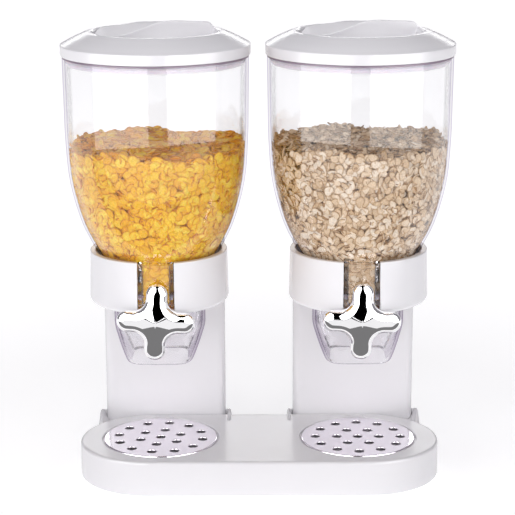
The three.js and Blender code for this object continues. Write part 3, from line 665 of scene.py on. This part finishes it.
def build_chamber(side):
    origin = AXIS[side]
    wall = CHAMBER_WALL
    outer = [(0, WAIST), (NECK_R, WAIST), (NECK_R, 156), (NECK_R + 1.5, 157.6), (CUP_R - 1.4, 159.4),
             (CUP_R, 161), (CUP_R, CHAMBER_TOP), (0, CHAMBER_TOP)]
    shelf = NECK_BOTTOM - 2 * PLAY
    inner = [(0, WAIST), (NECK_R - wall, WAIST), (NECK_R - wall, shelf), (CUP_R - wall, shelf),
             (CUP_R - wall, CHAMBER_TOP + 1), (0, CHAMBER_TOP + 1)]
    tube = lathe(f"chamber_shell_{side}", outer, origin, 128)
    foot = [(SPOUT[0][0] - 1.6, SPOUT_MOUTH, 4), (SPOUT[0][0] - 0.7, SPOUT_MOUTH + 0.25, 4)]
    join(tube, lofted("spout", foot + spout_sections(0), origin))
    throat = [(SPOUT_HALF + 0.8, SPOUT_MOUTH - 1, 4), (SPOUT_HALF + 0.3, SPOUT_MOUTH + 0.2, 4)]
    throat += [section for section in spout_sections(wall) if section[1] > SPOUT_MOUTH + 3]
    cut(tube, lathe("inner", inner, origin, 128), lofted("throat", throat, origin))
    root = NECK_R - wall / 2
    bosses = []
    for length, sign, tilt in ((50 - root, -1, TO_FRONT), (45 - root, 1, TO_REAR)):
        profile = [(0, 0), (BOSS_R, 0), (BOSS_R, 12.2 / 13 * length), (BOSS_R - 0.8, length), (0, length)]
        bosses.append(lathe("boss", profile, on_shaft(side, sign * root), 64, tilt))
    sill = SHAFT_Z + BOSS_R + PLAY
    join(tube, *bosses, window("window", sill, CHAMBER_TOP, wall / 2 - CUP_R, 0, origin))
    bore = [(0, 0), (SHAFT_BORE_R, 0), (SHAFT_BORE_R, 24), (0, 24)]
    cut(tube, window("hollow", sill + wall, CHAMBER_TOP + 1, WINDOW_REAR, WINDOW_WALL, origin),
        lathe("bore", bore, on_shaft(side, -28), 48, TO_FRONT),
        lathe("bore", bore, on_shaft(side, 28), 48, TO_REAR))
    finish(tube, CHAMBER, f"canister_{side}_body", "clear_chamber", f"chamber_{side}")


BUSH_REACH = 33.5
BUSH_R = 6.0
BUSH_BORE_R = 4.07
BUSH_FLANGE_R = 8.0
LID_SEAL = (71.3, 73.2)


def build_rings(side):
    """The two silicone seals and the two flanged bushes."""
    origin = AXIS[side]
    body = f"canister_{side}_body"
    for node, inner, outer, owner in (
        (f"chamber_seal_{side}", NECK_R + PLAY, CUP_R - CHAMBER_WALL - PLAY, body),
        (f"lid_seal_{side}", *LID_SEAL, f"lid_{side}_body"),
    ):
        bottom, top = low(node).z, high(node).z
        bead = outer - (outer - inner) / 3
        profile = rounded([(inner, bottom, 0.3), (bead, bottom, 0.3), (outer, (bottom + top) / 2, 0.9),
                           (bead, top, 0.3), (inner, top, 0.3)], 4)
        ring = lathe(f"{node}_ring", profile, origin, 96)
        finish(ring, SEAL, owner, "seal_silicone", node)
    for end, sign, tilt in (("front", -1, TO_FRONT), ("rear", 1, TO_REAR)):
        node = f"{end}_bush_{side}"
        face = high(node).y - origin.y if sign > 0 else origin.y - low(node).y
        length = face - BUSH_REACH
        flange = length - 2
        profile = rounded([(BUSH_BORE_R, 0, 0.3), (BUSH_R, 0, 0.4), (BUSH_R, flange, 0),
                           (BUSH_FLANGE_R, flange, 0.3), (BUSH_FLANGE_R, length, 0.6),
                           (BUSH_BORE_R, length, 0.4)], 3)
        bush = lathe(f"{end}_bearing_{side}", profile, on_shaft(side, sign * BUSH_REACH), 48, tilt)
        finish(bush, BUSH, body, "bush_plastic", node)


# ---- Lid ----

GRIP_TURN = {"left": 33.0, "right": 29.0}
LID_RIM = 359.6
LID_RECESS = 363.0
SKIRT_R = 71.0
SKIRT_BOTTOM = low("lid_left").z
GRIP_END = 54
GRIP_SPREAD = 3.4
GRIP_EDGE = ((-GRIP_END, 372), (-48, 376.4), (-42, 377.6), (-28, 378.6), (-14, 381.9), (0, 385.4),
             (12, 386.0), (20, 385.6), (30, 384.6), (43, 383.6), (49, 382.2), (GRIP_END, 376))
DOME = ((75.4, 368.9), (68, 372.9), (57.5, 377.6), (54.4, 378.4), (52, 378.3), (50.6, 377.2))


def grip_height(u):
    us, zs = zip(*sweep_profile(GRIP_EDGE, 8))
    return float(np.interp(u, us, zs))


def build_grip(side):
    """A twisted ribbon of a grip: each end is high on one side and low on the other."""
    turn = Matrix.Rotation(math.radians(GRIP_TURN[side]), 3, "Z")
    foot = LID_RECESS - 1.0

    def flank(half, top):
        return [(half + GRIP_SPREAD * (1 - t) ** 2.2, foot + (top - foot) * t) for t in np.linspace(0, 1, 11)]

    rings = []
    for u in np.linspace(-GRIP_END, GRIP_END, 73):
        front, rear = grip_height(u), grip_height(-u)
        half = 4.4 + 1.2 * (u / 45) ** 2
        flat = half - 1.0
        section = [(-v, z) for v, z in flank(half, rear - 1.0)] + arc((-flat, rear - 1.0), 1.0, 160, 90, 3)
        for t in np.arange(1, 6) / 6:
            crown = 0.5 * math.sin(math.pi * t)
            section.append((flat * (2 * t - 1), rear + (front - rear) * t + crown))
        section += arc((flat, front - 1.0), 1.0, 90, 20, 3) + flank(half, front - 1.0)[::-1]
        rings.append([turn @ Vector((u, -v, z)) for v, z in section])
    return stack("grip", rings, AXIS[side])


def build_lid(side):
    origin = AXIS[side]
    profile = [(0, 360.5), (44.5, 360.5), (48, 364), (52.5, 375), (68.8, 368), (68.8, SKIRT_BOTTOM + 0.5),
               (69.3, SKIRT_BOTTOM), (SKIRT_R - 0.5, SKIRT_BOTTOM), (SKIRT_R, SKIRT_BOTTOM + 0.5),
               (SKIRT_R, LID_RIM), (LID_R - 0.7, LID_RIM), (LID_R - 0.2, LID_RIM + 0.2),
               (LID_R, LID_RIM + 0.7), (LID_R, 367.2), (LID_R - 0.15, 367.9), (LID_R - 0.7, 368.5)]
    profile += sweep_profile(DOME, 5)
    profile += [(49.4, 373.5), (47.6, 367.6), (46.6, 365.2), (45.2, 363.7), (43.2, LID_RECESS),
                (0, LID_RECESS)]
    lid = lathe(f"lid_cover_{side}", profile, origin, 160)
    join(lid, build_grip(side))
    finish(lid, WHITE, f"lid_{side}_body", "white_plastic", f"lid_{side}", angle=30)


# ---- Knob, paddle and shaft ----

KNOB_TURN = {"left": 3.0, "right": 2.0}
KNOB_BACK = -59.5
LOBE_R = 8.7
LOBE_CENTRE = 23.0
HOLLOW_R = 10.3
KNOB_ROUND = 6.4
KNOB_SLOPE = math.tan(math.radians(8))
ROTOR_BORE_R = 4.3


def knob_outline(margin):
    """The four-lobed outline: round ends joined by hollows."""
    far = (LOBE_R + HOLLOW_R) * math.sqrt(2)
    points = []
    for k in range(4):
        turn = math.radians(90 * k)
        across = turn + math.radians(45)
        lobe = (LOBE_CENTRE * math.cos(turn), LOBE_CENTRE * math.sin(turn))
        hollow = (far * math.cos(across), far * math.sin(across))
        points += arc(lobe, LOBE_R - margin, 90 * k - 90, 90 * k + 90, 20)
        points += arc(hollow, HOLLOW_R + margin, 90 * k - 90, 90 * k - 180, 14)
    return points


def build_knob(side):
    turn = Matrix.Rotation(math.radians(KNOB_TURN[side]), 3, "Y")

    def crown(x, z):
        return KNOB_FRONT + KNOB_SLOPE * (math.hypot(x, z, 3.0) - 3.0)

    rings = []
    for margin, y in ((4.0, KNOB_BACK), (1.2, KNOB_BACK), (0.3, KNOB_BACK - 0.4), (0.0, KNOB_BACK - 1.2)):
        rings.append([(x, y, z) for x, z in knob_outline(margin)])
    edge = KNOB_BACK - 1.6
    for t in np.radians(np.linspace(7.5, 90, 12)):
        outline = knob_outline(KNOB_ROUND * (1 - math.cos(t)))
        rings.append([(x, edge + (crown(x, z) - edge) * math.sin(t), z) for x, z in outline])
    core = knob_outline(KNOB_ROUND)
    for scale in 1 - np.arange(1, 14) / 14:
        rings.append([(x * scale, crown(x * scale, z * scale), z * scale) for x, z in core])
    rings = [[turn @ Vector(p) for p in ring] for ring in rings]
    knob = stack(f"chrome_knob_{side}", rings, on_shaft(side))
    neck = rounded([(ROTOR_BORE_R, 0, 0), (8, 0, 0.6), (8, 4, 0), (9.6, 5.6, 0), (ROTOR_BORE_R, 5.6, 0)])
    neck = [(0, 0)] + [(r, z) for r, z in neck if r > 5] + [(0, 5.8)]
    join(knob, lathe("neck", neck, on_shaft(side, -54), 48, TO_FRONT))
    hole = [(0, 0), (ROTOR_BORE_R, 0), (ROTOR_BORE_R, 12.3), (0, 12.3)]
    cut(knob, lathe("hole", hole, on_shaft(side, -53), 48, TO_FRONT))
    finish(knob, CHROME, f"rotor_{side}_body", "knob_chrome", f"knob_{side}", angle=40)


PADDLE_SPHERE = 33.4
PADDLE_R = 28.4
HUB_R = 7.0
HUB_HALF = 26
BLADE_HALF_W = 25


def build_paddle(side):
    origin = on_shaft(side)
    profile = rounded([(ROTOR_BORE_R, -HUB_HALF, 0), (HUB_R, -HUB_HALF, 0.8), (HUB_R, HUB_HALF, 0.8),
                       (ROTOR_BORE_R, HUB_HALF, 0)], 4)
    hub = lathe(f"paddle_wheel_{side}", profile, origin, 48, TO_REAR)
    root = math.degrees(math.asin(BLADE_HALF_W / PADDLE_SPHERE))
    tip = math.degrees(math.acos(PADDLE_R / PADDLE_SPHERE))
    outline = [(HUB_R - 1.5, 24.6), (HUB_R - 1.5, -24.6)]
    outline += arc((0, 0), PADDLE_SPHERE, -root, -tip, 8) + arc((0, 0), PADDLE_SPHERE, tip, root, 8)
    blades = []
    for k in range(4):
        spin = Matrix.Rotation(math.radians(90 * k + KNOB_TURN[side]), 3, "Y")
        rings = []
        for margin, z in ((0.5, -0.95), (0.1, -0.7), (0.0, -0.4), (0.0, 0.4), (0.1, 0.7), (0.5, 0.95)):
            blade = [(x, y, z * (1.35 - 0.6 * x / PADDLE_R)) for x, y in inset(outline, margin)]
            rings.append([spin @ Vector(p) for p in blade])
        blades.append(stack("blade", rings, origin))
    join(hub, *blades)
    finish(hub, PADDLE, f"rotor_{side}_body", "paddle_silicone", f"paddle_{side}")


SHAFT_R = 4.0
CLIP_R = 7.0


def build_shaft(side):
    origin = on_shaft(side)
    front, rear = low(f"shaft_{side}").y - origin.y, high(f"shaft_{side}").y - origin.y
    r = SHAFT_R
    profile = [(0, front), (r - 0.6, front), (r, front + 0.6), (r, 46.6), (r - 0.7, 46.9), (r - 0.7, 48.7),
               (r, 49.0), (r, rear - 0.6), (r - 0.6, rear), (0, rear)]
    shaft = lathe(f"turned_shaft_{side}", profile, origin, 48, TO_REAR)
    finish(shaft, STEEL, f"rotor_{side}_body", "shaft_steel", f"shaft_{side}")
    clip_y = middle(f"shaft_clip_{side}").y - origin.y
    outline = arc((0, 0), CLIP_R, 38, 322, 40) + arc((0, 0), SHAFT_R - 0.3, 318, 42, 32)
    rings = []
    for margin, y in ((0.15, -0.6), (0.0, -0.45), (0.0, 0.45), (0.15, 0.6)):
        rings.append([(x, clip_y + y, z) for x, z in inset(outline, margin)])
    clip = stack(f"retaining_clip_{side}", rings, origin)
    finish(clip, STEEL, f"rotor_{side}_body", "shaft_steel", f"shaft_clip_{side}")


# ---- Grates ----

GRATE_T = 2.0
SHEET = 0.8
HOLE_R = 4.0
LIP_BEND = 0.45
HOLE_PHASE = {"left": 81.0, "right": 59.0}
HOLE_RINGS = ((18.0, 6), (36.5, 12))


def hole_places(side):
    spots = [(0.0, 0.0)]
    for radius, count in HOLE_RINGS:
        for k in range(count):
            turn = math.radians(HOLE_PHASE[side] + 360 * k / count)
            spots.append((radius * math.cos(turn), radius * math.sin(turn)))
    return spots


def build_grate(side):
    """A pressed plate: its rim and the lip of every hole are rolled down."""
    tool = bmesh.new()
    top = BASE_TOP
    under = BASE_TOP - GRATE_T
    origin = GRATE_AT[side]

    def circle(centre, radius, z, segments):
        spots = arc(centre, radius, 0, 360, segments)[:-1]
        return [tool.verts.new((origin + Vector((x, y, z))) * MM) for x, y in spots]

    def skin(rings):
        for lower, upper in zip(rings, rings[1:]):
            for i in range(len(lower)):
                j = (i + 1) % len(lower)
                tool.faces.new((lower[i], lower[j], upper[j], upper[i]))

    def rolled(centre, inner, segments, outward):
        """The rings of a rolled edge, from the plate's upper face round to its lower face."""
        sign = 1 if outward else -1
        bend = 1.0 if outward else LIP_BEND
        steps = [(bend * math.sin(t), top - bend * (1 - math.cos(t))) for t in np.radians((0, 30, 60, 90))]
        steps += [(bend, under + 0.2), (bend - 0.35, under), (bend - SHEET, under + 0.2)]
        steps.append((bend - SHEET, top - SHEET))
        rings = [circle(centre, inner + sign * out, z, segments) for out, z in steps]
        skin(rings)
        return rings[0], rings[-1]

    edges = [rolled((0, 0), GRATE_R - 1.0, 128, True)]
    edges += [rolled(spot, HOLE_R + LIP_BEND, 32, False) for spot in hole_places(side)]
    for level in (0, 1):
        loops = []
        for pair in edges:
            ring = pair[level]
            loops += [tool.edges.get((ring[i - 1], ring[i])) for i in range(len(ring))]
        bmesh.ops.triangle_fill(tool, use_beauty=True, use_dissolve=False, edges=loops)
    bmesh.ops.recalc_face_normals(tool, faces=tool.faces)
    mesh = bpy.data.meshes.new(f"drip_grate_{side}")
    tool.to_mesh(mesh)
    tool.free()
    grate = into_scene(mesh.name, mesh)
    finish(grate, GRATE, f"grate_{side}_body", "grate_steel", f"grate_{side}", angle=40)


# ---- Dry food in the canisters ----

FILL = {"left": 284.0, "right": 287.0}
CLEARANCE = 0.5
FLAKES = {
    "disc": {"length": (8.8, 10.8), "width": (0.9, 1.0), "thick": (1.5, 2.3), "cup": (-0.5, 0.9),
             "ragged": 0.02, "twist": 0.12, "sides": 14, "pitch": 9.8},
    "oat": {"length": (6.6, 10.0), "width": (0.62, 0.88), "thick": (0.7, 1.2), "cup": (-1.2, 1.2),
            "ragged": 0.09, "twist": 0.3, "sides": 12, "pitch": 8.2},
}


def inner_radius(z):
    """How far the food may reach from the axis at a height, inside the clear walls."""
    radii, heights = zip(*belly_outline())
    return float(np.interp(z, heights, np.array(radii) - CANISTER_WALL - CLEARANCE))


INNER = [(z, inner_radius(z)) for z in np.arange(160.0, 300.0, 1.0)]
INNER_Z, INNER_R = (np.array(v) for v in zip(*INNER))


def flake_shape(rng, kind):
    """One flake as rings of points: a lens-like disc for the puffs, a crinkled oval for the oats."""
    make = FLAKES[kind]
    length = rng.uniform(*make["length"])
    width = length * rng.uniform(*make["width"])
    thick = rng.uniform(*make["thick"])
    cup = rng.uniform(*make["cup"])
    ragged = make["ragged"]
    count = make["sides"]
    turns = np.arange(count) * 2 * math.pi / count
    wave = 1 + ragged * np.sin(turns * 2 + rng.uniform(0, 6.3))
    wave += ragged * np.sin(turns * 3 + rng.uniform(0, 6.3))
    wave += rng.normal(0, ragged * 0.35, count)
    twist = rng.uniform(-make["twist"], make["twist"])
    rings = []
    for share, rise in ((0.62, 0.5), (0.9, 0.42), (1.0, 0.12), (1.0, -0.12), (0.9, -0.42), (0.62, -0.5)):
        x = length / 2 * share * wave * np.cos(turns)
        y = width / 2 * share * wave * np.sin(turns)
        z = thick * rise + cup * share ** 2 + twist * x * y / length
        rings.append(np.stack([x, y, z], axis=1))
    points = np.concatenate([[[0, 0, thick * 0.5]], *rings, [[0, 0, -thick * 0.5]]])
    faces = []
    last = len(points) - 1
    for i in range(count):
        j = (i + 1) % count
        faces.append((0, 1 + i, 1 + j))
        faces.append((last, last - count + j, last - count + i))
        for k in range(len(rings) - 1):
            a = 1 + k * count
            faces.append((a + i, a + count + i, a + count + j, a + j))
    return points, faces


def turn_to(normal, spin):
    """A rotation that brings +Z to a normal, after a spin about it."""
    lift = Vector((0, 0, 1)).rotation_difference(Vector(normal))
    return np.array(lift.to_matrix() @ Matrix.Rotation(spin, 3, "Z"))


def keep_inside(points, window_half, sphere):
    """Moves points in until they clear the canister's wall, the window box and the turning paddle."""
    x, y, z = points.T
    limit = np.interp(z, INNER_Z, INNER_R)
    reach = np.hypot(x, y)
    boxed = (np.abs(x) < window_half) & (y < 0) & (z < COLLAR_TOP - 3) & (z > 163)
    scale = np.where(reach > limit, limit / np.maximum(reach, 1e-6), 1.0)
    free = np.where(boxed, 1.0, scale)
    x, y = x * free, y * free
    y = np.where(boxed, np.maximum(y, WINDOW_FRONT + WINDOW_WALL + CLEARANCE), y)
    centre = z - SHAFT_Z
    from_paddle = np.sqrt(x * x + y * y + centre * centre)
    push = np.where((from_paddle < sphere) & (centre > 0), sphere / np.maximum(from_paddle, 1e-6), 1.0)
    z = SHAFT_Z + centre * push
    return np.stack([x, y, z], axis=1)


def scatter(rng, kind, fill):
    """Places of flakes: against the wall in layers, then over the heaped top."""
    spots = []
    size = FLAKES[kind]["pitch"]

    def surface(r, angle):
        heap = 4.0 * math.cos(min(1.0, r / 72) * math.pi / 2)
        wave = 2.2 * math.sin(3 * angle + 0.7) + 1.8 * math.sin(5 * angle + r / 12)
        return fill + heap + wave * r / 72

    for layer, pitch in ((0, 0.52), (1, 0.62), (2, 0.8)):
        z = 164.0
        while z < fill + 6:
            radius = np.interp(z, INNER_Z, INNER_R) - 2.0 - 2.6 * layer
            around = max(6, int(2 * math.pi * radius / (size * pitch)))
            start = rng.uniform(0, 6.3)
            for k in range(around):
                angle = start + 2 * math.pi * (k + rng.uniform(-0.35, 0.35)) / around
                height = z + rng.uniform(-0.3, 0.3) * size
                if height > surface(radius, angle) + rng.uniform(-2, 1):
                    continue
                slope = np.interp(height + 2, INNER_Z, INNER_R) - np.interp(height - 2, INNER_Z, INNER_R)
                outward = Vector((math.cos(angle), math.sin(angle), -slope / 4))
                wildness = 0.3 + 0.25 * layer
                # The last value is a darkening by layer: painted shade on flakes that lie deeper in the pile.
                spots.append((radius + rng.uniform(-1.2, 1.0), angle, height, outward, wildness, 0.5 * layer))
            z += size * pitch * 0.8
    pitch = 0.5
    r = 0.0
    while r < 68:
        around = max(1, int(2 * math.pi * r / (size * pitch)))
        start = rng.uniform(0, 6.3)
        for k in range(around):
            angle = start + 2 * math.pi * (k + rng.uniform(-0.4, 0.4)) / around
            height = surface(r, angle) + rng.uniform(-2.5, 1.5)
            radius = r + rng.uniform(-2, 2)
            spots.append((radius, angle, height, Vector((0, 0, 1)), 0.38, rng.uniform(0, 0.3)))
        r += size * pitch * 0.8
    for z in np.arange(165, 196, size * 0.42):
        for x in np.arange(-9, 9.1, size * 0.42):
            # The rear row behind the window gets the larger darkening: painted shade.
            for y, wildness, depth in ((-50.3, 0.35, 0.1), (-46.0, 0.6, 0.7)):
                where = (x, y + rng.uniform(0, 2))
                spots.append((where, None, z + rng.uniform(-1.5, 1.5), Vector((0, -1, 0)), wildness, depth))
    return spots


def build_food(side, kind, material, seed):
    rng = np.random.default_rng(seed)
    origin = np.array(AXIS[side])
    half = COLLAR_SLOT / 2 - PLAY - WINDOW_WALL - CLEARANCE
    vertices, faces, shades = [], [], []
    base = 0
    for spot, angle, height, outward, wildness, depth in scatter(rng, kind, FILL[side]):
        if angle is None:
            centre = np.array([spot[0], spot[1], height])
        else:
            centre = np.array([spot * math.cos(angle), spot * math.sin(angle), height])
        normal = outward.normalized() + Vector(rng.normal(0, wildness, 3))
        if rng.random() < 0.5:
            normal = -normal
        points, shape = flake_shape(rng, kind)
        points = points @ turn_to(normal.normalized(), rng.uniform(0, 6.3)).T + centre
        points = keep_inside(points, half, PADDLE_SPHERE + 1.0)
        vertices.append(points)
        faces += [tuple(base + i for i in face) for face in shape]
        # A random tone, darkened by depth: painted shade on deeper flakes.
        tone_and_shade = (0.5 + 0.5 * rng.random()) * (1 - depth)
        # Points round each flake's edge are darker: painted shade along the flake's rim.
        rim = np.repeat((1, 0.8, 0.3, 0.3, 0.8, 1), (len(points) - 2) // 6)
        shades += [tone_and_shade, *(tone_and_shade * rim), tone_and_shade]
        base += len(points)
    everything = np.concatenate(vertices) + origin
    food = new_object(f"dry_food_{side}", everything.tolist(), faces, merge=False)
    mesh = food.data
    layer = mesh.attributes.new("shade", "FLOAT", "POINT")
    layer.data.foreach_set("value", np.array(shades, dtype=np.float32))
    mesh.shade_smooth()
    place(food, material, f"canister_{side}_body", "paddle_silicone")

    # The mass of flakes that the outer layers hide, given the darkest colour as painted shade in the gaps
    # between the outer flakes.
    fill = FILL[side]
    profile = [(0, SHAFT_Z + PADDLE_SPHERE + 1.5)]
    profile += [(np.interp(z, INNER_Z, INNER_R) - 7.5, z) for z in np.arange(190, fill - 3, 6)]
    profile += [(np.interp(fill, INNER_Z, INNER_R) - 12, fill - 4), (20, fill - 1), (0, fill - 0.5)]
    core = lathe(f"food_core_{side}", profile, AXIS[side], 48)
    bumps = random.Random(seed)
    for vertex in core.data.vertices:
        vertex.co += Vector((bumps.uniform(-1, 1), bumps.uniform(-1, 1), bumps.uniform(-1, 1))) * 0.7 * MM
    core.data.shade_smooth()
    layer = core.data.attributes.new("shade", "FLOAT", "POINT")
    # A shade value of zero gives the ramp's darkest colour: painted shade.
    layer.data.foreach_set("value", np.zeros(len(core.data.vertices), dtype=np.float32))
    place(core, material, f"canister_{side}_body", "paddle_silicone")


# ---- Feet, which gain a finer shape, and screws, which keep their CAD shape ----

def build_screws(side):
    for level in ("lower", "upper"):
        dress(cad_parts[f"column_screw_{side}_{level}"], STEEL)


def build_feet():
    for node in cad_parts:
        if not node.startswith("foot_"):
            continue
        spot = middle(node)
        height = high(node).z
        profile = [(0, 0), (5.6, 0), (6.6, 0.25), (7, 0.7), (7, height), (0, height)]
        foot = lathe(f"rubber_{node}", profile, Vector((spot.x, spot.y, 0)), 48)
        finish(foot, RUBBER, "stand", "foot_rubber", node)


# ---- Stage: floor, lights, camera ----

FLOOR_HALF = 4000
LAMP_TARGET = Vector((0, 0, 0.2))
PURE_WHITE = (1, 1, 1)
SOFT_WHITE = (1, 0.99, 1)
BLACK = (0.01, 0.01, 0.01)


def reflector(name, vertices, faces, colour, strength):
    """A glowing or dark card that nothing sees but reflections."""
    s = Shader(name)
    glow = s.add("ShaderNodeEmission", Strength=strength)
    glow.inputs["Color"].default_value = (*colour, 1)
    s.links.new(glow.outputs[0], s.output.inputs["Surface"])
    panel = new_object(name, vertices, faces)
    dress(panel, s.material)
    for ray in ("camera", "diffuse", "transmission", "shadow"):
        setattr(panel, f"visible_{ray}", False)


def card(name, distance, azimuths, heights, colour, strength):
    """A reflector curved round the object. Azimuth 0 is towards the camera."""
    steps = 16
    vertices = []
    for a in np.radians(np.linspace(*azimuths, steps + 1)):
        vertices += [(distance * math.sin(a), -distance * math.cos(a), z) for z in heights]
    faces = [(2 * k, 2 * k + 2, 2 * k + 3, 2 * k + 1) for k in range(steps)]
    reflector(name, vertices, faces, colour, strength)


def sheet(across, along, height):
    """The corners and the one face of a level sheet."""
    (x0, x1), (y0, y1) = across, along
    return [(x0, y0, height), (x1, y0, height), (x1, y1, height), (x0, y1, height)], [(0, 1, 2, 3)]


def flat_card(name, across, along, height, colour, strength):
    reflector(name, *sheet(across, along, height), colour, strength)


def lamp(name, position, size, power):
    """A white area lamp, in metres, that faces the object and shows in no reflection."""
    data = bpy.data.lights.new(name, "AREA")
    data.shape = "RECTANGLE"
    data.size, data.size_y = size
    data.energy = power
    light = into_scene(name, data)
    light.location = position
    light.rotation_euler = (LAMP_TARGET - Vector(position)).to_track_quat("-Z", "Y").to_euler()
    light.visible_glossy = False
    light.visible_transmission = False


def build_world():
    """White to the camera and through clear plastic, and a dim lilac grey to everything else."""
    world = bpy.data.worlds.new("studio")
    bpy.context.scene.world = world
    world.use_nodes = True
    nodes, links = world.node_tree.nodes, world.node_tree.links
    seen = nodes["Background"]
    seen.inputs["Color"].default_value = (1, 1, 1, 1)
    seen.inputs["Strength"].default_value = 1.05
    around = nodes.new("ShaderNodeBackground")
    around.inputs["Color"].default_value = (0.86, 0.83, 0.9, 1)
    around.inputs["Strength"].default_value = 0.3
    path = nodes.new("ShaderNodeLightPath")
    straight = nodes.new("ShaderNodeMath")
    straight.operation = "MAXIMUM"
    links.new(path.outputs["Is Camera Ray"], straight.inputs[0])
    links.new(path.outputs["Is Transmission Ray"], straight.inputs[1])
    mix = nodes.new("ShaderNodeMixShader")
    links.new(straight.outputs[0], mix.inputs["Fac"])
    links.new(around.outputs[0], mix.inputs[1])
    links.new(seen.outputs[0], mix.inputs[2])
    links.new(mix.outputs[0], nodes["World Output"].inputs["Surface"])


def build_floor():
    """A pale floor that glows more the further it is from the object, so that it fades into the white."""
    reach = (-FLOOR_HALF, FLOOR_HALF)
    floor = new_object("floor", *sheet(reach, reach, 0))
    s = Shader("pale_floor")
    s.set(Roughness=0.9)
    s.feed("Base Color", s.blend(s.range(s.noise(3, 3), 0, 1), (0.88, 0.88, 0.89), (0.9, 0.9, 0.9)))
    away = s.add("ShaderNodeVectorMath", operation="LENGTH")
    s.links.new(s.place, away.inputs[0])
    s.feed("Emission Strength", s.range(away.outputs["Value"], 0.41, 0.78, 0.35, 1.2))
    s.surface.inputs["Emission Color"].default_value = (1, 1, 1, 1)
    dress(floor, s.material)


def build_stage():
    build_world()
    build_floor()
    card("softbox_left", 1300, (-78, -10.2), (10, 2600), PURE_WHITE, 5.0)
    card("softbox_right", 1300, (12.4, 78), (10, 2600), PURE_WHITE, 5.0)
    card("dark_middle", 1500, (-16, 16), (-40, 1900), BLACK, 0.0)
    card("glow_back", 2500, (155, 205), (800, 1080), PURE_WHITE, 4.2)
    flat_card("dark_ceiling", (-260, 260), (-2000, 0), 1500, BLACK, 0.0)
    flat_card("dark_far_floor", (-1300, 1300), (-1290, -1050), 2, BLACK, 0.0)
    flat_card("white_floor", (-1300, 1300), (-1050, -200), 1, SOFT_WHITE, 0.95)
    flat_card("grey_near_floor", (-1300, 1300), (-430, -130), 3, SOFT_WHITE, 0.2)
    lamp("key_left", (-1.5, -1.7, 0.8), (1.0, 1.0), 10)
    lamp("key_right", (1.3, -1.5, 1.2), (1.2, 1.2), 4)
    lamp("front", (0, -2.4, 0.9), (1.2, 1.0), 15)
    lamp("top", (0, 0.1, 1.9), (1.6, 1.6), 9)
    bpy.context.scene.view_settings.view_transform = "Standard"


# Fitted to the photo: metres, degrees downwards, radians of roll and a lens in mm.
CAMERA_AT = (0, -1.43417, 0.5448)
CAMERA_DOWN = 14.02
CAMERA_ROLL = -0.0035
CAMERA_LENS = 123.33


def build_camera():
    data = bpy.data.cameras.new("camera")
    data.lens = CAMERA_LENS
    data.sensor_width = 36
    data.shift_x = -0.00224
    data.shift_y = 0.00097
    camera = into_scene("camera", data)
    camera.location = CAMERA_AT
    camera.rotation_euler = (math.radians(90 - CAMERA_DOWN), 0, 0)
    camera.rotation_euler.rotate_axis("Z", CAMERA_ROLL)
    bpy.context.scene.camera = camera


build_camera()
build_base()
dress(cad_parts["base_bottom_cover"], WHITE)
build_feet()
for name in SIDES:
    build_column(name)
    build_screws(name)
    build_chamber(name)
    build_canister(name)
    build_rings(name)
    build_lid(name)
    build_knob(name)
    build_paddle(name)
    build_shaft(name)
    build_grate(name)
build_food("left", "disc", FLAKE, 11)
build_food("right", "oat", OAT, 23)
build_stage()
